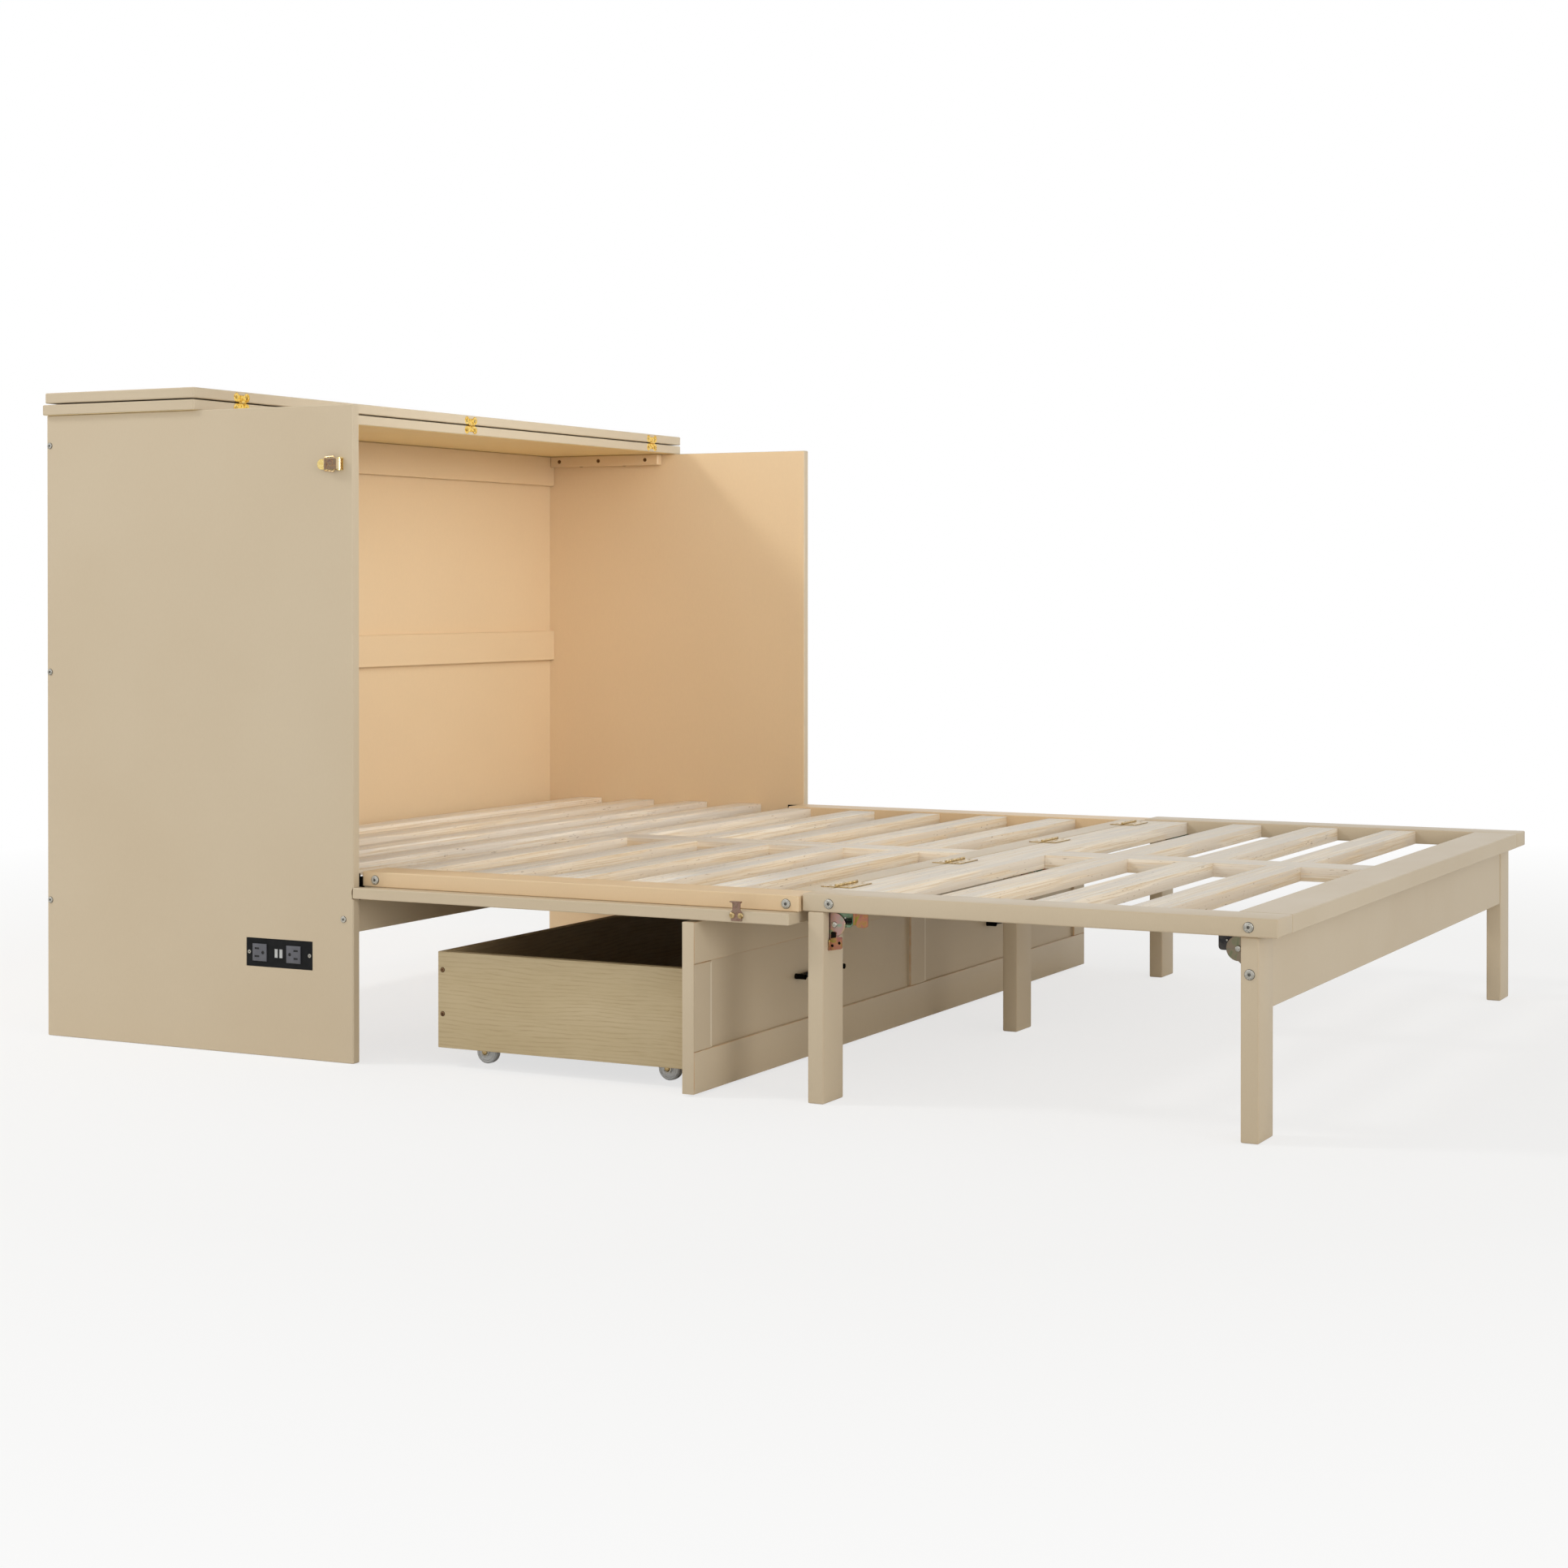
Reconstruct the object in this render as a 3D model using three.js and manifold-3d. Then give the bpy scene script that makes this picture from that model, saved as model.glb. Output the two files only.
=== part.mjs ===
// Folding cabinet bed for a queen mattress, drawn open.
// The cabinet stands against the wall, its door has come down as the middle of the bed,
// the foot section has unfolded from the door, and a drawer on castors rolls out underneath.
// Millimetres. X across the bed (left is -X as seen from the foot), +Y to the wall, +Z up.

import * as THREE from 'three';
import { mergeVertices } from 'three/addons/utils/BufferGeometryUtils.js';
import Module from 'manifold-3d';

const wasm = await Module();
wasm.setup();

// ---------- driving dimensions ----------
const seat = 0.3; // gap between pieces that touch
const ease = 1.2; // chamfer along the edges of painted boards

// cabinet
const cabinetWidth = 1625;
const cabinetDepth = 636.5;
const cabinetHeight = 1055;
const sideThick = 18;
const backThick = 3;
const backRailThick = 12;
const backRailHeight = 64;
const middleBackRailZ = 605;
const crossRailZ = 208; // underside of the rails that the drawer passes below
const crossRailHeight = 53;
const crossRailThick = 18;
const crossRailSetback = 10;
const cleatWidth = 18;
const cleatHeight = 23;
const cleatLength = 274;

// folding top
const topThick = 17.5;
const topGap = 2.5; // air between the two leaves of the top when one lies on the other
const topOverhang = 7;
const topBackOverhang = 4;
const topRearDepth = 326;
const topFrontOverhang = 5.5; // turned-over leaf past the cabinet's front edge

// door, which is the bed's middle section
const doorThick = 17.5;
const doorBottomZ = 264.5;
const doorTopGap = 9.5; // shut door's upper end to the cabinet's top
const doorToCabinet = 0.5; // shut door to the cabinet's front edges
const doorHeadLap = 2.5; // lowered door's lower corner into the cabinet's coved front edges
const doorHeadBevel = 2.5; // upper corner of the same edge, back from the lower one
const doorPivotInset = 9.25; // pivot line to the door's outer face
const coveGap = 0.4;
const doorRecess = 6;
const doorStile = 60;
const doorRail = 66;

// frames laid on the door and beyond it
const frameRailWidth = 70;
const middleRailThick = 24;
const middleRailInset = 24; // cabinet's outer face to the middle section's rails
const middleFrameSetback = 2.3; // door's hinge edge to the frame on it
const foldAxisOut = 6; // door's foot edge to the fold's axis
const foldGap = 1.5; // fold axis to the boards on both sides of it
const hingeBoardTop = 307;
const footRailThick = 26.5;
const footRailInset = 31;
const footRailProud = 3; // foot rails stand this much over the laths
const footLength = 722.5;
const footBoardWidth = 78;
const footHeadBoardWidth = 88;
const middleEndBoardWidth = 48;
const spineWidth = 75;

// laths
const lathWidth = 57;
const lathThick = 21;
const middleLathCount = 5;
const middleLathStart = 53.7; // frame's head end to the foot edge of its first lath
const middleLathEnd = 90.7; // foot edge of its last lath to the end board
const footLathCount = 3;
const footLathStart = 237.5;
const footLathEnd = 187;
const platformLathCount = 4;
const platformLathStart = 138;
const platformLathEnd = 102.5; // foot edge of the last lath to the cabinet's front
const ledgerWidth = 20;
const ledgerHeight = 22;
const platformSpineHeight = 60;
const platformSpineWidth = 30;

// legs
const legWidth = 67;
const legDepth = 26;
const middleLegInset = 30;
const footLegInset = 38;
const middleLegSetback = 9.5; // foot section's head end to the middle legs
const footLegSetback = 54.5; // foot end to the far side of the foot legs
const apronHeight = 104;
const apronThick = 18;
const apronSetback = 1.5;

// leg brackets
const plateThick = 2;
const legPivotOut = 9; // pivot to the leg's face
const legPivotDrop = 19.5; // pivot below the frame
const bracketReach = 38;
const bracketFlange = 30;
const bracketRadius = 17.5;
const bracketTail = 24; // leg plate below its pivot
const railPlateHeight = 23;
const rivetRadius = 4;
const flangeGap = 0.6; // leg plate's flange to the frame's plate

// pivots at the door's lower corners
const doorPivotRadius = 3;
const doorPivotNose = 6.4;
const doorPivotReach = 38; // fixed plate along the side panel
const doorArmHeight = 14;
const doorArmFlange = 50;
const doorArmGap = 0.4;

// hinges
const topHingeInset = 118.5; // cabinet's outer face to the outer hinges
const topHingeLeaf = 16.5;
const topHingeLobe = 7.6; // radius of a leaf's two round lobes
const topHingeLobeOut = 13.5; // middle of the hinge to a lobe's centre
const topHingeNeck = 19;
const topHingeThick = 1.2;
const topHingeBarrel = 1.8;
const foldHingeInner = 213; // middle of the bed to the inner hinges
const foldHingeInset = 83.5; // foot rails' inner face to the outer hinges
const foldHingeWidth = 76;
const foldHingeLeaf = 20;
const foldHingeThick = 1.6;
const foldHingeBarrel = 3;

// drawer
const drawerFrontOverhang = 2.5;
const drawerFrontHeight = 258;
const drawerFrontZ = 3;
const drawerFrontThick = 20;
const drawerPull = 601.5; // how far the drawer stands out in this pose
const drawerFrontGap = 2; // shut drawer front to the cabinet
const drawerBoxThick = 15;
const drawerBoxInset = 29.5; // side panel's inner face to the drawer box
const drawerBoxDepth = 473;
const drawerBoxZ = 30;
const drawerBoxHeight = 153;
const drawerBottomThick = 8;
const drawerBottomLift = 12;
const drawerStile = 58;
const drawerCentreStile = 66;
const drawerRail = 63;
const drawerRecess = 6;

// castors
const wheelRadius = 19;
const wheelWidth = 18;
const axleRadius = 3;
const forkGap = 1;
const forkThick = 1.5;
const wheelInset = 60; // drawer box's side to the wheels
const wheelBackInset = 57;
const wheelFrontInset = 81;

// handles
const handleLength = 188;
const handleRadius = 4.5;
const handleReach = 29;
const handleBend = 11;
const handleRise = 134; // drawer front's lower edge to the handle

// outlet panel in the left side
const outletWidth = 132.5;
const outletHeight = 46;
const outletPlate = 3;
const outletSetback = 146.5; // cabinet's front edge to the plate's middle
const outletZ = 168;
const outletBodyWidth = 110;
const outletBodyHeight = 38;
const outletBodyDepth = 22;
const socketSize = 28.5;
const socketProud = 2;
const socketOffset = 34;
const socketShift = 5; // pair of sockets towards the wall from the plate's middle
const portShift = 1.5;

// draw latches
const latchDrop = 95; // cabinet's top to the latch
const latchSetback = 68.5; // cabinet's front edge to the plate's back end
const latchLength = 50;
const latchPlate = 1.5;
const latchTailWidth = 17;
const latchPivotAt = 46; // back end of the plate to the lever's pivot
const latchPivotRise = 6;
const latchPinRadius = 1.4;
const latchPinGap = 0.3;
const latchRoll = 4.2; // radius of the lever's rolled front
const latchSheet = 1.2;
const latchLeverWidth = 17;
const latchLeverLength = 25.5;
const bailPinBack = 8; // lever pivot to the bail's eyes
const bailPinRise = 7.5;
const bailWire = 1.2; // wire radius
const bailLength = 19.5;
const bailEyeHalf = 12;
const bailEndHalf = 10.8;
const bailBend = 3;
const lipThick = 1.5;
const lipStandoff = 6;
const lipGap = 0.3;
const strikeWidth = 18;
const strikeNeck = 13;

// the laths of one frame share its length evenly
const lathPitch = (length, count) => length / (count - 1);

// ---------- levels and planes worked out from them ----------
const halfWidth = cabinetWidth / 2;
const innerHalf = halfWidth - sideThick;
const doorTopZ = doorBottomZ + doorThick;
const doorHeadY = -cabinetDepth + doorHeadLap;
// turning about this line takes the door from level to flush on the cabinet's front edges
const doorAxisY = -cabinetDepth - doorToCabinet - doorThick + doorPivotInset;
const doorAxisZ = doorBottomZ + doorPivotInset;
const doorFootY = doorAxisY - (cabinetHeight - doorTopGap - doorAxisZ);
const foldAxisY = doorFootY - foldAxisOut;
const middleFrameZ = doorTopZ + seat;
const middleRailTop = middleFrameZ + middleRailThick;
const middleRailX = halfWidth - middleRailInset;
const middleHeadY = doorHeadY - middleFrameSetback;
const middleFootY = foldAxisY + foldGap;
const endBoardY = middleFootY + middleEndBoardWidth + seat;
const footHeadY = foldAxisY - foldGap;
const footEndY = footHeadY - footLength;
const footRailTop = hingeBoardTop + footRailProud;
const footFrameZ = footRailTop - footRailThick;
const footRailX = halfWidth - footRailInset;
const foldAxisZ = hingeBoardTop + foldHingeBarrel;
const platformTop = middleFrameZ + lathThick;
const middleLegY = footHeadY - middleLegSetback;
const footLegY = footEndY + footLegSetback;
const legPivotZ = footFrameZ - legPivotDrop;
const legTopZ = footFrameZ - seat;
const drawerFaceY = -cabinetDepth - drawerFrontGap - drawerPull;
const drawerFrontY = drawerFaceY - drawerFrontThick;
const drawerBoxX = innerHalf - drawerBoxInset;
const wheelX = drawerBoxX - wheelInset;
const outletY = -cabinetDepth + outletSetback;
const latchBackY = -cabinetDepth + latchSetback;
const latchZ = cabinetHeight - latchDrop;
const topBackY = topBackOverhang;
const topFrontY = topBackY - topRearDepth;
const topRearTop = cabinetHeight + seat + topThick;
const topAxisZ = topRearTop + topGap / 2;
const topAxisY = topFrontY - 0.4;
const platformLathPitch = lathPitch(cabinetDepth - platformLathStart - platformLathEnd, platformLathCount);
const middleLathPitch = lathPitch(
  middleHeadY - middleLathStart - endBoardY - middleLathEnd,
  middleLathCount,
);
const footLathPitch = lathPitch(footLength - footLathStart - footLathEnd, footLathCount);
const topFrontDepth = cabinetDepth + topFrontOverhang + topFrontY;
const footBoardX = footRailX - frameRailWidth - seat;
const foldHingeOuter = footRailX - frameRailWidth - foldHingeInset;
const foldHingeX = [-foldHingeOuter, -foldHingeInner, foldHingeInner, foldHingeOuter];

// ---------- materials ----------
const paint = 0xc9b99c;
const inner = 0xd8b98c;
const wood = 0xe0cdaf;
const melamine = 0xb8a57c;
const steel = 0xa8a48e;
const brass = 0xc9a45a;
const black = 0x222326;
const dark = 0x3a3a3c;
const grey = 0xb9b9b9;

function finish(color, roughness, metalness) {
  return new THREE.MeshStandardMaterial({ color, roughness, metalness });
}

// ---------- solids ----------
function toSolid(geometry) {
  const bare = geometry.clone();
  bare.deleteAttribute('normal');
  bare.deleteAttribute('uv');
  const merged = mergeVertices(bare, 1e-4);
  const vertProperties = new Float32Array(merged.attributes.position.array);
  const triVerts = new Uint32Array(merged.index.array);
  return new wasm.Manifold(new wasm.Mesh({ numProp: 3, vertProperties, triVerts }));
}

function toGeometry(solid) {
  const mesh = solid.getMesh();
  const geometry = new THREE.BufferGeometry();
  geometry.setAttribute('position', new THREE.BufferAttribute(new Float32Array(mesh.vertProperties), 3));
  geometry.setIndex(new THREE.BufferAttribute(new Uint32Array(mesh.triVerts), 1));
  geometry.computeVertexNormals();
  return geometry;
}

function join(...geometries) {
  return toGeometry(geometries.map(toSolid).reduce((sum, solid) => sum.add(solid)));
}

function cut(geometry, ...tools) {
  return toGeometry(tools.map(toSolid).reduce((rest, tool) => rest.subtract(tool), toSolid(geometry)));
}

// sharp block between two corners, each given as [x, y, z]
function block(low, high) {
  const size = high.map((value, i) => value - low[i]);
  const geometry = new THREE.BoxGeometry(...size);
  return geometry.translate(...low.map((value, i) => value + size[i] / 2));
}

// board between two corners, with every edge and corner chamfered
function board(low, high, chamfer = ease) {
  const [w, h, d] = high.map((value, i) => value - low[i] - 2 * chamfer);
  const c = chamfer;
  const outline = new THREE.Shape([
    new THREE.Vector2(c, 0),
    new THREE.Vector2(w - c, 0),
    new THREE.Vector2(w, c),
    new THREE.Vector2(w, h - c),
    new THREE.Vector2(w - c, h),
    new THREE.Vector2(c, h),
    new THREE.Vector2(0, h - c),
    new THREE.Vector2(0, c),
  ]);
  const geometry = new THREE.ExtrudeGeometry(outline, {
    depth: d,
    bevelThickness: c,
    bevelSize: c,
    bevelSegments: 1,
  });
  return geometry.translate(...low.map((value) => value + c));
}

// flat plate drawn in the (Y, Z) plane and given its thickness along X from x0
function platePlane(shape, x0, thick, curveSegments = 6) {
  const geometry = new THREE.ExtrudeGeometry(shape, { depth: thick, bevelEnabled: false, curveSegments });
  // shape (u, v) goes to (Y, Z)
  geometry.applyMatrix4(new THREE.Matrix4().makeBasis(
    new THREE.Vector3(0, 1, 0),
    new THREE.Vector3(0, 0, 1),
    new THREE.Vector3(1, 0, 0),
  ));
  return geometry.translate(x0, 0, 0);
}

// round bar along X
function barX(radius, x0, x1, y, z, sides = 16) {
  const geometry = new THREE.CylinderGeometry(radius, radius, x1 - x0, sides);
  return geometry.rotateZ(Math.PI / 2).translate((x0 + x1) / 2, y, z);
}

function mirrorX(geometry) {
  return toGeometry(toSolid(geometry).mirror([1, 0, 0]));
}

// ---------- assembly ----------
const bed = new THREE.Group();

function add(name, geometry, material) {
  const mesh = new THREE.Mesh(geometry, material);
  mesh.name = name;
  bed.add(mesh);
  return mesh;
}

// draws the piece for the left side and adds its mirror image for the right side
function addPair(name, geometry, color, roughness, metalness = 0) {
  add(`${name}_left`, geometry, finish(color, roughness, metalness));
  add(`${name}_right`, mirrorX(geometry), finish(color, roughness, metalness));
}

// ---------- cabinet ----------
// outline of the door's edge beside the cabinet, grown by a clearance
function doorEdge(gap) {
  return new THREE.Shape([
    new THREE.Vector2(doorHeadY + gap, doorBottomZ - gap),
    new THREE.Vector2(doorHeadY - doorHeadBevel + gap, doorTopZ + gap),
    new THREE.Vector2(doorAxisY - 4, doorTopZ + gap),
    new THREE.Vector2(doorAxisY - 4, doorBottomZ - gap),
  ]);
}

function sidePanel() {
  const panel = board([-halfWidth, -cabinetDepth, 0], [-innerHalf, 0, cabinetHeight]);
  // rebate that takes the back's edge
  const rebate = block(
    [-innerHalf - 6, -backThick - seat, crossRailZ],
    [-innerHalf + 1, 1, cabinetHeight + 1],
  );
  // cove in the front edge, cleared by the door's edge as it turns
  const coves = [];
  for (let turn = 0; turn <= 90; turn += 7.5) {
    coves.push(platePlane(doorEdge(coveGap), -halfWidth - 1, sideThick + 2)
      .translate(0, -doorAxisY, -doorAxisZ)
      .rotateX(THREE.MathUtils.degToRad(-turn))
      .translate(0, doorAxisY, doorAxisZ));
  }
  return cut(panel, rebate, ...coves);
}

function outletCutout() {
  const plateHole = block(
    [-halfWidth - 1, outletY - outletWidth / 2 - seat, outletZ - outletHeight / 2 - seat],
    [-halfWidth + outletPlate, outletY + outletWidth / 2 + seat, outletZ + outletHeight / 2 + seat],
  );
  const bodyHole = block(
    [-halfWidth, outletY - outletBodyWidth / 2 - seat, outletZ - outletBodyHeight / 2 - seat],
    [-innerHalf + 1, outletY + outletBodyWidth / 2 + seat, outletZ + outletBodyHeight / 2 + seat],
  );
  return [plateHole, bodyHole];
}

function addCabinet() {
  const side = sidePanel();
  add('side_panel_left', cut(side, ...outletCutout()), finish(paint, 0.5, 0));
  add('side_panel_right', mirrorX(side), finish(paint, 0.5, 0));
  add('back_panel', block(
    [-innerHalf - 6 + seat, -backThick, crossRailZ + seat],
    [innerHalf + 6 - seat, 0, cabinetHeight - seat],
  ), finish(inner, 0.6, 0));

  const railX = innerHalf - seat;
  const railY = -backThick - seat - backRailThick;
  const railFloors = {
    back_rail_lower: crossRailZ,
    back_rail_middle: middleBackRailZ,
    back_rail_upper: cabinetHeight - seat - backRailHeight,
  };
  for (const [name, z] of Object.entries(railFloors)) {
    add(name, board([-railX, railY, z], [railX, railY + backRailThick, z + backRailHeight]),
      finish(inner, 0.55, 0));
  }
  add('front_cross_rail', board(
    [-railX, -cabinetDepth + crossRailSetback, crossRailZ],
    [railX, -cabinetDepth + crossRailSetback + crossRailThick, crossRailZ + crossRailHeight],
  ), finish(paint, 0.5, 0));

  const cleatTop = cabinetHeight - seat;
  addPair('top_cleat', board(
    [-innerHalf + seat, railY - seat - cleatLength, cleatTop - cleatHeight],
    [-innerHalf + seat + cleatWidth, railY - seat, cleatTop],
  ), inner, 0.55);
}

// full-width laths nailed on two ledgers and a spine, behind the door
function addPlatform() {
  const lathX = innerHalf - 1.5;
  const backY = -backThick - backRailThick - 2 * seat;
  const frontY = -cabinetDepth + crossRailSetback + crossRailThick + seat;
  const lathBottom = platformTop - lathThick;
  const parts = [];
  for (let i = 0; i < platformLathCount; i += 1) {
    const footY = -platformLathStart - i * platformLathPitch;
    parts.push(block([-lathX, footY, lathBottom], [lathX, footY + lathWidth, platformTop]));
  }
  const lastY = -platformLathStart - (platformLathCount - 1) * platformLathPitch - 8;
  for (const side of [-1, 1]) {
    const x0 = side > 0 ? innerHalf - seat - ledgerWidth : -innerHalf + seat;
    parts.push(block(
      [x0, lastY, lathBottom - ledgerHeight],
      [x0 + ledgerWidth, backY, lathBottom + 0.5],
    ));
  }
  parts.push(block(
    [-platformSpineWidth / 2, frontY, lathBottom - platformSpineHeight],
    [platformSpineWidth / 2, backY, lathBottom - 20],
  ));
  parts.push(block(
    [-platformSpineWidth / 2, lastY, lathBottom - 21],
    [platformSpineWidth / 2, backY, lathBottom + 0.5],
  ));
  add('platform_laths', join(...parts), finish(wood, 0.75, 0));
}

// ---------- hinges ----------
// A leaf in its own frame: the pin runs along X through the origin, the leaf reaches towards +Y
// and its outer face is level with the barrel's side, below the pin.
function squareLeaf(width, reach, z0, z1) {
  const corner = 2;
  const outline = new THREE.Shape();
  outline.moveTo(-width / 2, 0);
  outline.lineTo(width / 2, 0);
  outline.lineTo(width / 2, reach - corner);
  outline.quadraticCurveTo(width / 2, reach, width / 2 - corner, reach);
  outline.lineTo(-width / 2 + corner, reach);
  outline.quadraticCurveTo(-width / 2, reach, -width / 2, reach - corner);
  outline.closePath();
  const flat = new THREE.ExtrudeGeometry(outline, { depth: z1 - z0, bevelEnabled: false, curveSegments: 3 });
  return flat.translate(0, 0, z0);
}

// leaf of an edge hinge: two round lobes on a straight neck, grown by a clearance
function lobedLeaf(grow, z0, z1) {
  const radius = topHingeLobe + grow;
  const lobes = [-1, 1].map((side) => {
    const disc = new THREE.CylinderGeometry(radius, radius, z1 - z0, 14).rotateX(Math.PI / 2);
    return disc.translate(side * topHingeLobeOut, topHingeLeaf - topHingeLobe, (z0 + z1) / 2);
  });
  const neckHalf = topHingeNeck / 2 + grow;
  const neck = block([-neckHalf, -grow, z0], [neckHalf, topHingeLeaf - 4 + grow, z1]);
  return join(neck, ...lobes);
}

function hingeLeaf(flat, length, barrel, knuckles) {
  const pitch = length / 5;
  const solids = [toSolid(flat)];
  const relief = [];
  for (let i = 0; i < 5; i += 1) {
    const x0 = -length / 2 + i * pitch;
    if (knuckles(i)) {
      solids.push(toSolid(barX(barrel, x0 + (i > 0 ? 0.15 : 0), x0 + pitch - (i < 4 ? 0.15 : 0), 0, 0, 12)));
    } else {
      relief.push(toSolid(barX(barrel + 0.3, x0 - 0.15, x0 + pitch + 0.15, 0, 0, 12)));
    }
  }
  let leaf = solids.reduce((sum, solid) => sum.add(solid));
  for (const tool of relief) leaf = leaf.subtract(tool);
  return toGeometry(leaf);
}

// the pin belongs to one leaf and runs in a bore through the other one's knuckles
function hingePair(flat, length, barrel) {
  const pinRadius = barrel * 0.45;
  const fixed = hingeLeaf(flat, length, barrel, (i) => i % 2 === 0);
  const pin = barX(pinRadius, -length / 2 + 0.5, length / 2 - 0.5, 0, 0, 8);
  const bore = barX(pinRadius + 0.3, -length, length, 0, 0, 8);
  const moving = hingeLeaf(flat, length, barrel, (i) => i % 2 === 1);
  return { fixed: join(fixed, pin), moving: cut(moving, bore) };
}

const topHinge = hingePair(
  lobedLeaf(0, -topHingeBarrel, topHingeThick - topHingeBarrel),
  topHingeNeck,
  topHingeBarrel,
);
const foldHinge = hingePair(
  squareLeaf(foldHingeWidth, foldHingeLeaf, -foldHingeBarrel, foldHingeThick - foldHingeBarrel),
  foldHingeWidth,
  foldHingeBarrel,
);

// ---------- folding top ----------
// mortise for one leaf of an edge hinge and its side of the barrel, in the leaf's own frame
function topMortise() {
  const barrelOut = topHingeBarrel + seat;
  const neckHalf = topHingeNeck / 2 + seat;
  return join(
    lobedLeaf(seat, -barrelOut, 5),
    block([-neckHalf, -barrelOut, -barrelOut], [neckHalf, barrelOut, 5]),
  );
}

// stands an edge hinge's leaf up on the front edges of the top's panels, or hangs it down
const standLeaf = (leaf, x) => leaf.clone().rotateX(Math.PI / 2).translate(x, topAxisY, topAxisZ);
const hangLeaf = (leaf, x) => leaf.clone().rotateX(Math.PI / 2).rotateY(Math.PI)
  .translate(x, topAxisY, topAxisZ);

function addTop() {
  const half = halfWidth + topOverhang;
  const frontLow = topRearTop + topGap;
  const hingeXs = [-halfWidth + topHingeInset, 0, halfWidth - topHingeInset];
  const rear = board([-half, topFrontY, cabinetHeight + seat], [half, topBackY, topRearTop], 1.5);
  const front = board(
    [-half, topFrontY, frontLow],
    [half, topFrontY + topFrontDepth, frontLow + topThick],
    1.5,
  );
  const mortise = topMortise();
  add('top_panel_rear', cut(rear, ...hingeXs.map((x) => hangLeaf(mortise, x))), finish(paint, 0.45, 0));
  add('top_panel_front', cut(front, ...hingeXs.map((x) => standLeaf(mortise, x))), finish(paint, 0.45, 0));
  hingeXs.forEach((x, i) => {
    add(`top_hinge_rear_leaf_${i + 1}`, hangLeaf(topHinge.fixed, x), finish(brass, 0.3, 1));
    add(`top_hinge_front_leaf_${i + 1}`, standLeaf(topHinge.moving, x), finish(brass, 0.3, 1));
  });
}

// ---------- door pivots ----------
// Fixed plate on the side panel's inner face; its nose carries the pin's bore in front of the edge.
function doorPivotPlate() {
  const edgeY = -cabinetDepth + 0.4;
  const lowZ = crossRailZ + crossRailHeight + seat;
  const shape = new THREE.Shape();
  shape.moveTo(edgeY + doorPivotReach, lowZ);
  shape.lineTo(edgeY + doorPivotReach, middleRailTop - 3);
  shape.lineTo(edgeY, middleRailTop - 3);
  shape.lineTo(edgeY, doorAxisZ + doorPivotNose);
  shape.absarc(doorAxisY, doorAxisZ, doorPivotNose, Math.PI / 2, (3 * Math.PI) / 2, false);
  shape.lineTo(edgeY, lowZ);
  shape.closePath();
  const plate = platePlane(shape, -innerHalf + seat, plateThick);
  const bore = barX(doorPivotRadius + 0.3, -innerHalf - 1, -innerHalf + 5, doorAxisY, doorAxisZ);
  return cut(plate, bore);
}

// Angle on the end of the middle section's rail, dropping past the door's edge to the pin.
function doorPivotArm() {
  const inX = -middleRailX - seat;
  const outX = -innerHalf + seat + plateThick + doorArmGap;
  const endY = middleHeadY + seat;
  const lowZ = middleFrameZ + 2;
  const highZ = lowZ + doorArmHeight;
  const shape = new THREE.Shape();
  shape.absarc(doorAxisY, doorAxisZ, doorPivotNose, Math.PI, 0, false);
  shape.lineTo(endY + plateThick, lowZ);
  shape.lineTo(endY + plateThick, highZ);
  shape.lineTo(endY - 3, highZ);
  shape.lineTo(endY - 3, lowZ);
  shape.closePath();
  const web = platePlane(shape, outX, inX - outX);
  const flange = block([outX, endY, lowZ], [inX + doorArmFlange, endY + plateThick, highZ]);
  const pin = barX(doorPivotRadius, -innerHalf + seat, outX + 1, doorAxisY, doorAxisZ);
  return join(web, flange, pin);
}

// ---------- door and middle section ----------
function panelRecess(x0, x1, z0, z1, faceY, depth) {
  return block([x0, faceY - 1, z0], [x1, faceY + depth, z1]);
}

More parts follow.
